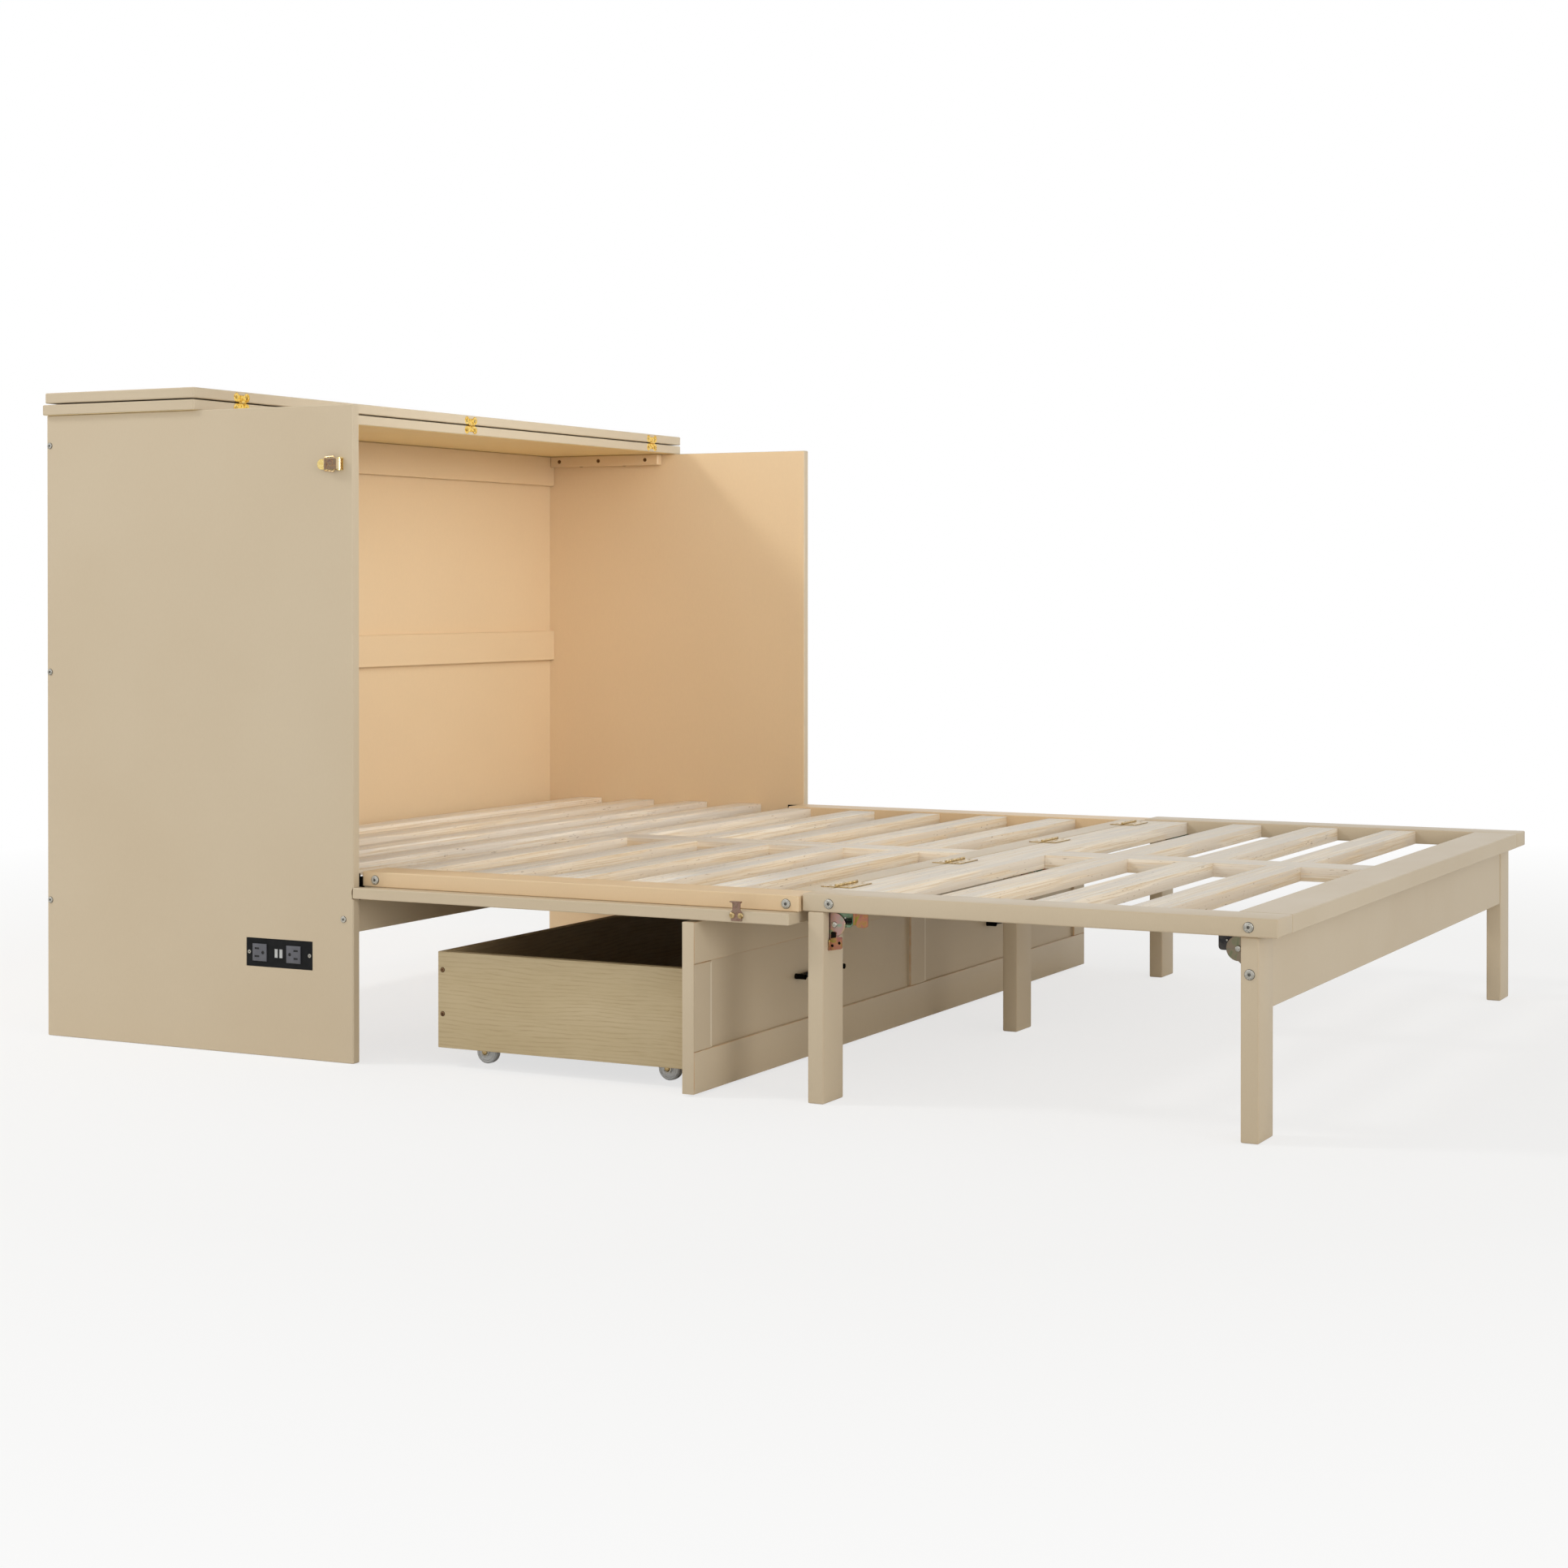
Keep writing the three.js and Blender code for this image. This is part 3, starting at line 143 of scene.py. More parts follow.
# ---------- materials ----------
def lacquer(name, colours, axis="X", face_at=0.0):
    """Sprayed satin lacquer on board: even, slightly cloudy colour and a fine orange peel.

    colours is (face, cloud) or, for a board painted differently on its two sides,
    (outer face, outer cloud, inner face, inner cloud): the outer side lies beyond face_at on an axis.
    Shaped boards carry an "edge" attribute, where the coat is thin and the primer shows through,
    and an attribute that marks a strip beside an inner edge, painted pale as a highlight.
    """
    material, add = blank(name)
    even = stretched(add, (1, 1, 1))
    # clouds about 300 mm across from the spray passes
    cloud = add("MapRange", [add("TexNoise", {"Vector": even, "Scale": 3.2, "Detail": 2}), 0.3, 0.7])
    colour = add("Mix", {0: cloud, 6: colours[0], 7: colours[1]}, data_type="RGBA")
    if len(colours) == 4:
        inside = add("Mix", {0: cloud, 6: colours[2], 7: colours[3]}, data_type="RGBA")
        place = add("SeparateXYZ", [add("TexCoord").outputs["Object"]])
        across = add("Math", [place.outputs[axis]], operation="ABSOLUTE")
        outer = add("Math", [across, face_at], operation="GREATER_THAN")
        colour = add("Mix", {0: outer, 6: inside, 7: colour}, data_type="RGBA")
    # faint weave of the rolled primer, 1.6 mm apart
    weave = add("TexNoise", {"Vector": stretched(add, (620, 620, 140)), "Scale": 1, "Detail": 1})
    weave = add("MapRange", [weave, 0.35, 0.65, 0, 0.035])
    colour = add("Mix", {0: weave, 6: colour, 7: "A9987A"}, data_type="RGBA")
    worn = add("Attribute", attribute_name="edge").outputs["Fac"]
    # the rubbing comes and goes over 22 mm
    rub = add("TexNoise", {"Vector": even, "Scale": 45, "Detail": 3})
    rub = add("MapRange", [rub, 0.35, 0.62, 0.15, 0.8])
    rubbed = add("Math", [worn, rub], operation="MULTIPLY")
    colour = add("Mix", {0: rubbed, 6: colour, 7: EDGE_PRIMER}, data_type="RGBA")
    # painted highlight: the marked strip beside an inner edge is painted pale
    painted_edge_highlight = add("Attribute", attribute_name="painted_edge_highlight").outputs["Fac"]
    colour = add("Mix", {0: painted_edge_highlight, 6: colour, 7: PAINTED_HIGHLIGHT_PALE}, data_type="RGBA")
    # orange peel 3 mm across, coarser than the real 1 mm so that it shows
    peel = add("TexNoise", {"Vector": even, "Scale": 330, "Detail": 2})
    # wiping marks, 80 mm apart, vary the gloss a little
    wiped = add("TexNoise", {"Vector": even, "Scale": 12, "Detail": 2})
    shader = add("BsdfPrincipled", {
        "Base Color": colour,
        "Roughness": add("MapRange", [wiped, 0.3, 0.7, 0.39, 0.45]),
        "IOR": 1.5,
        "Specular IOR Level": 0.3,
        "Coat Weight": 0.05,
        "Coat Roughness": 0.25,
        "Normal": add("Bump", {"Height": peel, "Strength": 0.06, "Distance": 0.12 * MM}),
    })
    add("OutputMaterial", [shader])
    return material


def sawn_pine(name, along):
    """Sawn and planed pine, bare: pale, matt, streaked along the grain, with flecks and greyed spots."""
    material, add = blank(name)
    # grain lines about 2.5 mm apart and 250 mm long
    fine = drawn_out(add, along, 400, 4)
    grain = add("TexNoise", {
        "Vector": fine, "Scale": 1, "Detail": 5, "Roughness": 0.6, "Distortion": 0.6})
    # growth rings show as bands 14 mm apart that run the length of the board
    broad = drawn_out(add, along, 72, 1.8)
    band = add("TexNoise", {
        "Vector": broad, "Scale": 1, "Detail": 4, "Roughness": 0.55, "Distortion": 1.4})
    colour = set_stops(add("ValToRGB", [band]), [
        (0.34, "F6E6CD"), (0.44, "FBF0DE"), (0.54, "FDF7EC"), (0.64, "F8EBD6")])
    streak = add("MapRange", [grain, 0.5, 0.57, 0, 0.6])
    colour = add("Mix", {0: streak, 6: colour, 7: "D3B88F"}, data_type="RGBA")
    # greyish-white sapwood streaks 20 mm wide and 300 mm long
    patch = add("TexNoise", {"Vector": drawn_out(add, along, 52, 3.4), "Scale": 1, "Detail": 3})
    grey = add("MapRange", [patch, 0.48, 0.55, 0, 0.75])
    colour = add("Mix", {0: grey, 6: colour, 7: "E3DDD5"}, data_type="RGBA")
    # resin flecks: dark dashes 2 mm wide and 15 mm long, few and in loose groups
    dash = add("TexNoise", {"Vector": drawn_out(add, along, 440, 60), "Scale": 1, "Detail": 2})
    dash = add("MapRange", [dash, 0.66, 0.7])
    group = add("TexNoise", {"Vector": drawn_out(add, along, 30, 9), "Scale": 1, "Detail": 1})
    group = add("MapRange", [group, 0.5, 0.6, 0.25, 0.95])
    fleck = add("Math", [dash, group], operation="MULTIPLY")
    colour = add("Mix", {0: fleck, 6: colour, 7: "75543A"}, data_type="RGBA")
    # each board's own warmth and greying, with painted light: the sides warmed as by bounce from the peach
    # paint, the tops greyed as by the cooler light from above
    for attribute, tint in (("tone", "E8CBA0"), ("greying_and_top_light", "E2DACE")):
        amount = add("Attribute", attribute_name=attribute).outputs["Fac"]
        colour = add("Mix", {0: amount, 6: colour, 7: tint}, data_type="RGBA")
    shader = add("BsdfPrincipled", {
        "Base Color": colour,
        "Roughness": add("MapRange", [grain, 0.2, 0.8, 0.68, 0.86]),
        "IOR": 1.45,
        "Normal": add("Bump", {"Height": grain, "Strength": 0.35, "Distance": 0.5 * MM}),
    })
    add("OutputMaterial", [shader])
    return material


def grain_foil(name, along, across, light, line, shade):
    """Printed wood-grain foil on chipboard: satin, with fine wavy brown lines along the board."""
    material, add = blank(name)
    # the lines waver over 300 mm, and a little over 60 mm
    sway = add("TexNoise", {"Vector": drawn_out(add, along, 14, 3.2), "Scale": 1, "Detail": 2})
    quiver = add("TexNoise", {"Vector": drawn_out(add, along, 45, 16), "Scale": 1, "Detail": 2})
    place = add("SeparateXYZ", [add("TexCoord").outputs["Object"]])
    # one line every 6.5 mm
    step = add("Math", [place.outputs[across], 1 / (6.5 * MM)], operation="MULTIPLY")
    step = add("Math", [sway, 5.5, step], operation="MULTIPLY_ADD")
    step = add("Math", [quiver, 0.7, step], operation="MULTIPLY_ADD")
    saw = add("Math", [step], operation="FRACT")
    # each line is sharp on one side and fades over 2 mm on the other, and its ink comes and goes
    thin = add("MapRange", [saw, 0.62, 0.97])
    ink = add("TexNoise", {"Vector": drawn_out(add, along, 76.5, 27.2), "Scale": 1, "Detail": 3})
    ink = add("MapRange", [ink, 0.35, 0.65, 0.08, 0.5])
    drawn = add("Math", [thin, ink], operation="MULTIPLY")
    # pores 1.4 mm apart and 33 mm long
    pore = add("TexNoise", {"Vector": drawn_out(add, along, 700, 30), "Scale": 1, "Detail": 2})
    colour = add("Mix", {0: add("MapRange", [sway, 0.3, 0.7]), 6: light, 7: shade}, data_type="RGBA")
    for amount in (add("MapRange", [pore, 0.5, 0.75, 0, 0.25]), drawn):
        colour = add("Mix", {0: amount, 6: colour, 7: line}, data_type="RGBA")
    shader = add("BsdfPrincipled", {
        "Base Color": colour,
        "Roughness": add("MapRange", [pore, 0.3, 0.7, 0.4, 0.52]),
        "IOR": 1.5,
        "Normal": add("Bump", {"Height": pore, "Strength": 0.08, "Distance": 0.1 * MM}),
    })
    add("OutputMaterial", [shader])
    return material


def plated(name, stops, rough=0.28, patch=55, rolled=None):
    """Plated steel: a metal whose tint drifts over the sheet, with faint rolling marks.

    patch is how many patches of tint there are in a metre.
    rolled is the Y below which the sheet is rolled; there it is painted bright, a painted highlight on the
    roll.
    """
    material, add = blank(name)
    drift = add("TexNoise", {
        "Vector": stretched(add, (1, 1, 1)), "Scale": patch, "Detail": 2, "Distortion": 0.8})
    tint = set_stops(add("ValToRGB", [drift]), stops)
    # brushing 0.8 mm apart
    marks = add("TexNoise", {"Vector": stretched(add, (1250, 300, 1250)), "Scale": 1, "Detail": 2})
    # painted highlight: the rolled end is painted bright
    if rolled is not None:
        place = add("SeparateXYZ", [add("TexCoord").outputs["Object"]])
        roll_highlight = add("MapRange", [place.outputs["Y"], rolled + 1 * MM, rolled - 1 * MM])
        tint = add("Mix", {0: roll_highlight, 6: tint, 7: "DCC49C"}, data_type="RGBA")
    # painted shade: sockets and the gaps round heads are darkened where shade falls
    deep = add("Attribute", attribute_name="painted_shade").outputs["Fac"]
    shader = add("BsdfPrincipled", {
        "Base Color": add("Mix", {0: deep, 6: tint, 7: "1D1A17"}, data_type="RGBA"),
        "Metallic": 1.0,
        "Roughness": add("MapRange", [marks, 0.2, 0.8, rough - 0.06, rough + 0.12]),
        "Normal": add("Bump", {"Height": marks, "Strength": 0.08, "Distance": 0.1 * MM}),
    })
    add("OutputMaterial", [shader])
    return material


def moulded(name, colour, deep, rough=0.45, shine=0.5):
    """Moulded plastic: spark-eroded grain of 0.6 mm and a faint drift of tone over 17 mm."""
    material, add = blank(name)
    even = stretched(add, (1, 1, 1))
    drift = add("MapRange", [add("TexNoise", {"Vector": even, "Scale": 60, "Detail": 2}), 0.3, 0.7])
    tone = add("Mix", {0: drift, 6: colour, 7: deep}, data_type="RGBA")
    grain = add("TexNoise", {"Vector": even, "Scale": 1600, "Detail": 2})
    # painted shade: hollows are darkened nearly to black
    hollow = add("Attribute", attribute_name="painted_shade").outputs["Fac"]
    shader = add("BsdfPrincipled", {
        "Base Color": add("Mix", {0: hollow, 6: tone, 7: "060606"}, data_type="RGBA"),
        "Roughness": add("MapRange", [grain, 0.3, 0.7, rough - 0.06, rough + 0.06]),
        "IOR": 1.49,
        "Specular IOR Level": shine,
        "Normal": add("Bump", {"Height": grain, "Strength": 0.12, "Distance": 0.05 * MM}),
    })
    add("OutputMaterial", [shader])
    return material


side_low, side_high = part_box("side_panel_left")
# paint stops this far past a board's face, on its edges
PAINT_LAP = 0.4 * MM
# the latch lever's roll, painted bright as a highlight, starts here, from the foot of its base
ROLL_START = 44 * MM
OUTER = ("CDBDA3", "CAB99E")
INNER = ("E3C8A2", "E0C59F")
# under the top: the inner paint, drawn lighter and yellower as painted light for the light bounced up under
# the top
UNDER_TOP_BOUNCE_LIT = ("F2DCA6", "EFD7A0")
# the primer that shows through on worn edges, and the pale of the painted highlight beside inner edges
EDGE_PRIMER, PAINTED_HIGHLIGHT_PALE = "C59C70", "E9DEC9"
# beige outside, peach inside and straw yellow under the top, that yellow partly painted bounce light: satin,
# without a hard highlight
beige = lacquer("satin_lacquer_beige", OUTER)
peach = lacquer("satin_lacquer_peach", INNER)
two_tone = lacquer("satin_lacquer_cabinet_side", OUTER + INNER, face_at=abs(side_high.x) + PAINT_LAP)
lid_tone = lacquer("satin_lacquer_cabinet_top", OUTER + UNDER_TOP_BOUNCE_LIT, axis="Z",
                   face_at=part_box("top_panel_rear")[0].z + PAINT_LAP)
# bare pine, pale and matt, by the axis that its grain follows
PINE = {X: sawn_pine("sawn_pine_across", X), Y: sawn_pine("sawn_pine_along", Y)}
# oak print on the drawer's boards: sand outside; browner and darker on the back and floor, painted shade for
# the drawer's shaded inside
foil_side = grain_foil("wood_grain_foil_side", Y, Z, "C4B28E", "9C8460", "BAA781")
foil_across = grain_foil("wood_grain_foil_back", X, Z, "BBA783", "8A6F4E", "A8916C")
foil_floor = grain_foil("wood_grain_foil_floor", X, Y, "A88F6C", "6E5439", "8F7553")
# bright nickel: cool grey with mirror-like patches
nickel = plated("nickel_plated_bolt", [
    (0.3, "8F8D86"), (0.45, "CFCCC3"), (0.6, "A7A59D"), (0.7, "DDDAD0")], 0.26, 200)
# brass plating, from a dull straw on hinges to strong yellow on the top's hinges
brass = plated("brass_plated_steel", [(0.3, "A08658"), (0.5, "D0B888"), (0.7, "927649")], 0.26, 120)
gold = plated("bright_brass_plating", [
    (0.3, "B87A1C"), (0.48, "F3C552"), (0.62, "F8DC8E"), (0.75, "9A5E18")], 0.2, 210)
bail_brass = plated("worn_brass_wire", [(0.3, "B08E5C"), (0.5, "DCC093"), (0.7, "C4A474")], 0.25, 120)
pale_gold = plated("pale_brass_plating", [(0.3, "E2BE6C"), (0.5, "F6E09A"), (0.7, "D9B25A")], 0.25, 90)
# passivated zinc: rainbow patches of pink, straw and green, each part with its own cast
zinc = plated("yellow_passivated_zinc", [
    (0.3, "9CA88C"), (0.4, "BCA584"), (0.5, "BC9490"), (0.6, "B09C90"), (0.7, "92A894")], 0.34)
olive_zinc = plated("olive_passivated_zinc", [
    (0.3, "6E7A5C"), (0.42, "86816A"), (0.54, "8C7C6C"), (0.66, "76806A")], 0.34, 70)
brown_zinc = plated("brown_passivated_zinc", [
    (0.3, "86795A"), (0.45, "A08478"), (0.6, "8A6E5E"), (0.7, "94866C")], 0.3, 140)
green_zinc = plated("green_passivated_zinc", [(0.3, "587A5E"), (0.5, "7C8A74"), (0.7, "5E8468")], 0.3)
orange_zinc = plated("orange_passivated_zinc", [(0.3, "8E8A3C"), (0.5, "B07A5A"), (0.7, "A06A62")], 0.3, 90)
# bronzed spring steel: brown and grey heat tints, and a painted highlight on the roll
bronze_steel = plated("bronzed_spring_steel", [
    (0.3, "6A4A36"), (0.45, "A08062"), (0.55, "857463"), (0.66, "86665C"), (0.8, "927E68")],
    0.24, 110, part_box("latch_base_left")[1].y - ROLL_START)
brown_steel = plated("browned_screw_steel", [(0.3, "6A4C36"), (0.6, "8C6E52"), (0.8, "7A5A44")], 0.3, 160)
# dark steels: a grey oxide skin, and a black one that hardly shines
dark_steel = plated("blackened_steel", [(0.3, "39383A"), (0.7, "565350")], 0.38)
black_iron = plated("black_oxide_iron", [(0.3, "131313"), (0.7, "1F1D1C")], 0.45)
# outlet: matt black ABS plate, dark grey nylon sockets and pale port liners
black_plastic = moulded("moulded_abs_black", "151617", "1C1D1F", shine=0.12)
socket_plastic = moulded("moulded_nylon_socket", "56575E", "606168", 0.4)
port_plastic = moulded("moulded_port_grey", "C6C8C7", "B4B6B6", 0.4)
# polyurethane castor tyres: milky white and glossy
wheel_plastic = moulded("clear_polyurethane_wheel", "EEF0F1", "E0E3E5", 0.2, 0.8)


def finish_node(name, material):
    """Gives a CAD node its material."""
    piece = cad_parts[name]
    piece.data.materials.clear()
    piece.data.materials.append(material)


for side, _ in SIDES:
    for name, material, slot in (
            ("side_panel", two_tone, "painted_board"),
            ("top_cleat", peach, "inner_board"),
            ("middle_rail", peach, "inner_board"),
            ("drawer_side", foil_side, "drawer_board"),
            ("door_pivot_plate", black_iron, "dark_steel"),
            ("door_pivot_arm", black_iron, "dark_steel"),
            ("latch_base", pale_gold, "brass"),
            ("latch_lever", bronze_steel, "brass"),
            ("latch_bail", bail_brass, "brass"),
            ("strike", brown_zinc, "steel"),
            ("castor_wheel_back", wheel_plastic, "wheel_plastic"),
            ("castor_wheel_front", wheel_plastic, "wheel_plastic")):
        finish_node(f"{name}_{side}", material)
for name in ("back_panel", "back_rail_lower", "back_rail_middle", "back_rail_upper"):
    finish_node(name, peach)
for name in ("front_cross_rail", "top_panel_front", "door_panel", "foot_board", "foot_apron"):
    finish_node(name, beige)
finish_node("top_panel_rear", lid_tone)
finish_node("drawer_back", foil_across)
for i in (1, 2, 3):
    finish_node(f"top_hinge_rear_leaf_{i}", gold)
    finish_node(f"top_hinge_front_leaf_{i}", gold)


# ---------- workshop: how pieces are made ----------
def clear_bench():
    """Leaves edit mode and selects nothing."""
    if bpy.context.object and bpy.context.object.mode != "OBJECT":
        bpy.ops.object.mode_set(mode="OBJECT")
    bpy.ops.object.select_all(action="DESELECT")


def take(piece):
    """Makes a piece the only one selected."""
    clear_bench()
    bpy.context.view_layer.objects.active = piece
    piece.select_set(True)
    return piece


def settle(name):
    """Names the new primitive and puts its place into its mesh."""
    piece = bpy.context.object
    piece.name = name
    piece.data.name = name
    bpy.ops.object.transform_apply(location=True, rotation=True, scale=True)
    return piece


def blank_block(name, corner, opposite):
    """A sharp block between two opposite corners, to be shaped further."""
    clear_bench()
    corner, opposite = Vector(corner), Vector(opposite)
    bpy.ops.mesh.primitive_cube_add(size=1, location=(corner + opposite) / 2,
                                    scale=[abs(length) for length in opposite - corner])
    return settle(name)


def blank_rod(name, radius, length, at, sides=16, upright=False):
    """A round blank about a point, along X or, upright, along Z, to be shaped further."""
    clear_bench()
    bpy.ops.mesh.primitive_cylinder_add(vertices=sides, radius=radius, depth=length, location=at,
                                        rotation=(0, 0 if upright else math.pi / 2, 0))
    return settle(name)


def blank_disc(name, radius, low, high, sides=24):
    """A round blank standing on Z between two heights, to be shaped further."""
    return blank_rod(name, radius, high - low, (0, 0, (low + high) / 2), sides, upright=True)


def open_up(piece, kind, elements, wanted):
    """Opens a piece for editing with only the faces or edges that pass a test selected."""
    take(piece)
    bpy.ops.object.mode_set(mode="EDIT")
    bpy.ops.mesh.select_mode(type=kind)
    bpy.ops.mesh.select_all(action="DESELECT")
    bpy.ops.object.mode_set(mode="OBJECT")
    for element in getattr(piece.data, elements):
        element.select = wanted(element)
    bpy.ops.object.mode_set(mode="EDIT")


def open_faces(piece, wanted):
    """Opens a piece with faces selected by a test of their centre and normal."""
    open_up(piece, "FACE", "polygons", lambda face: wanted(face.center, face.normal))


def open_edges(piece, wanted):
    """Opens a piece with edges selected by a test of their two ends."""
    open_up(piece, "EDGE", "edges",
            lambda edge: wanted(*(piece.data.vertices[i].co for i in edge.vertices)))


def runs(axis, where=lambda corner: True):
    """A test for the edges that run along an axis, and start where a test of place allows."""
    return lambda a, b: abs(a[axis] - b[axis]) > 1 * MM and where(a)


def rings(axis, where=lambda corner: True):
    """A test for the edges that lie square to an axis, such as the rims of a rod's ends."""
    return lambda a, b: abs(a[axis] - b[axis]) < 0.001 * MM and where(a)


def above(height):
    """A test for the edges that lie above a height."""
    return lambda a, b: min(a.z, b.z) > height


def extrude(*step):
    """Draws what is selected out by a step."""
    bpy.ops.mesh.extrude_region_move(TRANSFORM_OT_translate={"value": step})


def close(piece):
    """Leaves edit mode."""
    bpy.ops.object.mode_set(mode="OBJECT")
    return piece


def ease_edges(piece, width, steps=2, wanted=lambda a, b: True):
    """Rounds or bevels the edges that pass a test of their two ends."""
    open_edges(piece, wanted)
    bpy.ops.mesh.bevel(offset=width, segments=steps, profile=0.5, affect="EDGES", clamp_overlap=True)
    close(piece)
    bpy.ops.object.shade_smooth_by_angle(angle=math.radians(32))
    return piece


def cut_out(piece, tool):
    """Cuts a tool's shape out of a piece, and throws the tool away."""
    take(piece)
    knife = piece.modifiers.new("cut", "BOOLEAN")
    knife.operation = "DIFFERENCE"
    knife.solver = "EXACT"
    knife.object = tool
    bpy.ops.object.modifier_apply(modifier=knife.name)
    bpy.data.objects.remove(tool)
    return piece


def gather(name, *parts):
    """Joins shaped parts into one piece."""
    clear_bench()
    for part in parts:
        part.select_set(True)
    bpy.context.view_layer.objects.active = parts[0]
    bpy.ops.object.join()
    parts[0].name = name
    parts[0].data.name = name
    return parts[0]


def copied(piece, name, place):
    """A copy with its own mesh, moved by a matrix."""
    twin = piece.copy()
    twin.data = piece.data.copy()
    twin.data.transform(place)
    twin.name = name
    twin.data.name = name
    bpy.context.collection.objects.link(twin)
    return twin


def mark(piece, name, domain, values):
    """Writes an attribute that the materials read, with a value for each face or corner."""
    piece.data.attributes.new(name, "FLOAT", domain).data.foreach_set("value", values)
    return piece


def fit(piece, body, material, slot, *stands_for):
    """Finishes a piece: its material, the body it rides on and the CAD nodes it stands for; its slot is not
    used.
    """
    piece.data.materials.clear()
    piece.data.materials.append(material)
    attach(piece, body)
    if stands_for:
        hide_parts(*stands_for)
    return piece


def facing(direction, at):
    """The matrix that turns a piece made facing +Z to a direction, and puts it at a point."""
    turned = Vector(direction).to_track_quat("Z", "Y").to_matrix().to_4x4()
    return Matrix.Translation(at) @ turned


def mm(*lengths):
    """A point or a size given in millimetres."""
    return [length * MM for length in lengths]


# ---------- boards and laths ----------
SPINE_HALF, LATH, SEAT = mm(37.5, 57, 0.3)
# the most that a board's top lies low, its warmth, the painted bounce warmth that its sawn sides add to that,
# and its greying, which falls mostly on its top as painted cool top light
TOP_SAG, WARMTH, SIDE_BOUNCE_WARMTH, GREYING, FOOT_GREYING = 0.5 * MM, 0.22, 0.22, 0.5, 0.75


def sawn_board(name, corner, opposite, body, grain, stands_for):
    """A bare board, its edges eased by a plane, with a tone and a thickness of its own, and painted light:
    warmer sides, greyer top.
    """
    piece = ease_edges(blank_block(name, corner, opposite), 0.7 * MM)
    sag = draw.uniform(0, TOP_SAG)
    open_faces(piece, lambda centre, normal: normal.z > 0.7 and centre.z > opposite[Z] - 2 * MM)
    bpy.ops.transform.translate(value=(0, 0, -sag))
    close(piece)
    tone = draw.uniform(0, WARMTH)
    grey = draw.uniform(0.4, 1.0) * (FOOT_GREYING if body == "foot_section" else GREYING)
    # painted light: the sides get extra warmth as for warm bounce light, and the top most of the greying as
    # for cooler light from above
    looks_up = [face.normal.z > 0.7 for face in piece.data.polygons]
    mark(piece, "tone", "FACE", [tone * 0.6 if up else tone + SIDE_BOUNCE_WARMTH for up in looks_up])
    mark(piece, "greying_and_top_light", "FACE", [grey if up else grey * 0.15 for up in looks_up])
    return fit(piece, body, PINE[grain], "bare_wood", stands_for)


def mark_edges(piece, amount):
    """Marks how far the rounded edges are rubbed through."""
    return mark(piece, "edge", "FACE", [
        0.0 if max(map(abs, face.normal)) > 0.995 else amount for face in piece.data.polygons])


def painted_board(name, corner, opposite, body, stands_for, slot="painted_board"):
    """A lacquered board with softly rounded edges, a little rubbed."""
    piece = mark_edges(ease_edges(blank_block(name, corner, opposite), 2.2 * MM, 3), 0.14)
    return fit(piece, body, beige, slot, stands_for)


def make_lath_rows(frame_name, body, edges, outer, floor, top, head):
    """Half laths on both sides of a spine, one pair for each foot edge."""
    for i, foot in enumerate(edges):
        for side, sign in SIDES:
            sawn_board(f"{frame_name}_lath_{i + 1}_{side}", (sign * (SPINE_HALF + SEAT), foot, floor),
                       (sign * outer, min(foot + LATH, head), top), body, X, frame_name + "_laths")


# middle section: five rows and their spine
MIDDLE_START, MIDDLE_PITCH, MIDDLE_ROWS = 53.7 * MM, 147 * MM, 5
low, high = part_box("middle_laths")
middle_edges = [high.y - MIDDLE_START - i * MIDDLE_PITCH for i in range(MIDDLE_ROWS)]
make_lath_rows("middle", "door_section", middle_edges, high.x, low.z, high.z, high.y)
sawn_board("middle_spine", (-SPINE_HALF, low.y, low.z), (SPINE_HALF, high.y, high.z),
           "door_section", Y, "middle_laths")

# platform in the cabinet: full laths on two ledgers and a spine with a cap
PLATFORM_START, PLATFORM_PITCH, PLATFORM_ROWS, PLATFORM_LATH = 138 * MM, 132 * MM, 4, 21 * MM
SIDE_GAP, LEDGER_WIDE, LEDGER_HIGH, LEDGER_PAST = mm(1.2, 20, 22, 8)
CAP_HALF, CAP_HIGH = mm(15, 20)
low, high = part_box("platform_laths")
cabinet_back = side_high.y
platform_edges = [cabinet_back - PLATFORM_START - i * PLATFORM_PITCH for i in range(PLATFORM_ROWS)]
platform_foot = platform_edges[-1] - LEDGER_PAST
under_laths = high.z - PLATFORM_LATH
for i, foot in enumerate(platform_edges):
    sawn_board(f"platform_lath_{i + 1}", (low.x + SIDE_GAP, foot, under_laths),
               (high.x - SIDE_GAP, foot + LATH, high.z), "cabinet", X, "platform_laths")
for side, sign in SIDES:
    sawn_board("platform_ledger_" + side, (sign * high.x, platform_foot, under_laths - LEDGER_HIGH),
               (sign * (high.x - LEDGER_WIDE), high.y, under_laths - SEAT), "cabinet", Y, "platform_laths")
sawn_board("platform_spine", (-CAP_HALF, low.y, low.z), (CAP_HALF, high.y, under_laths - CAP_HIGH),
           "cabinet", Y, "platform_laths")
sawn_board("platform_spine_cap", (-CAP_HALF, platform_foot, under_laths - CAP_HIGH + SEAT),
           (CAP_HALF, high.y, under_laths - SEAT), "cabinet", Y, "platform_laths")

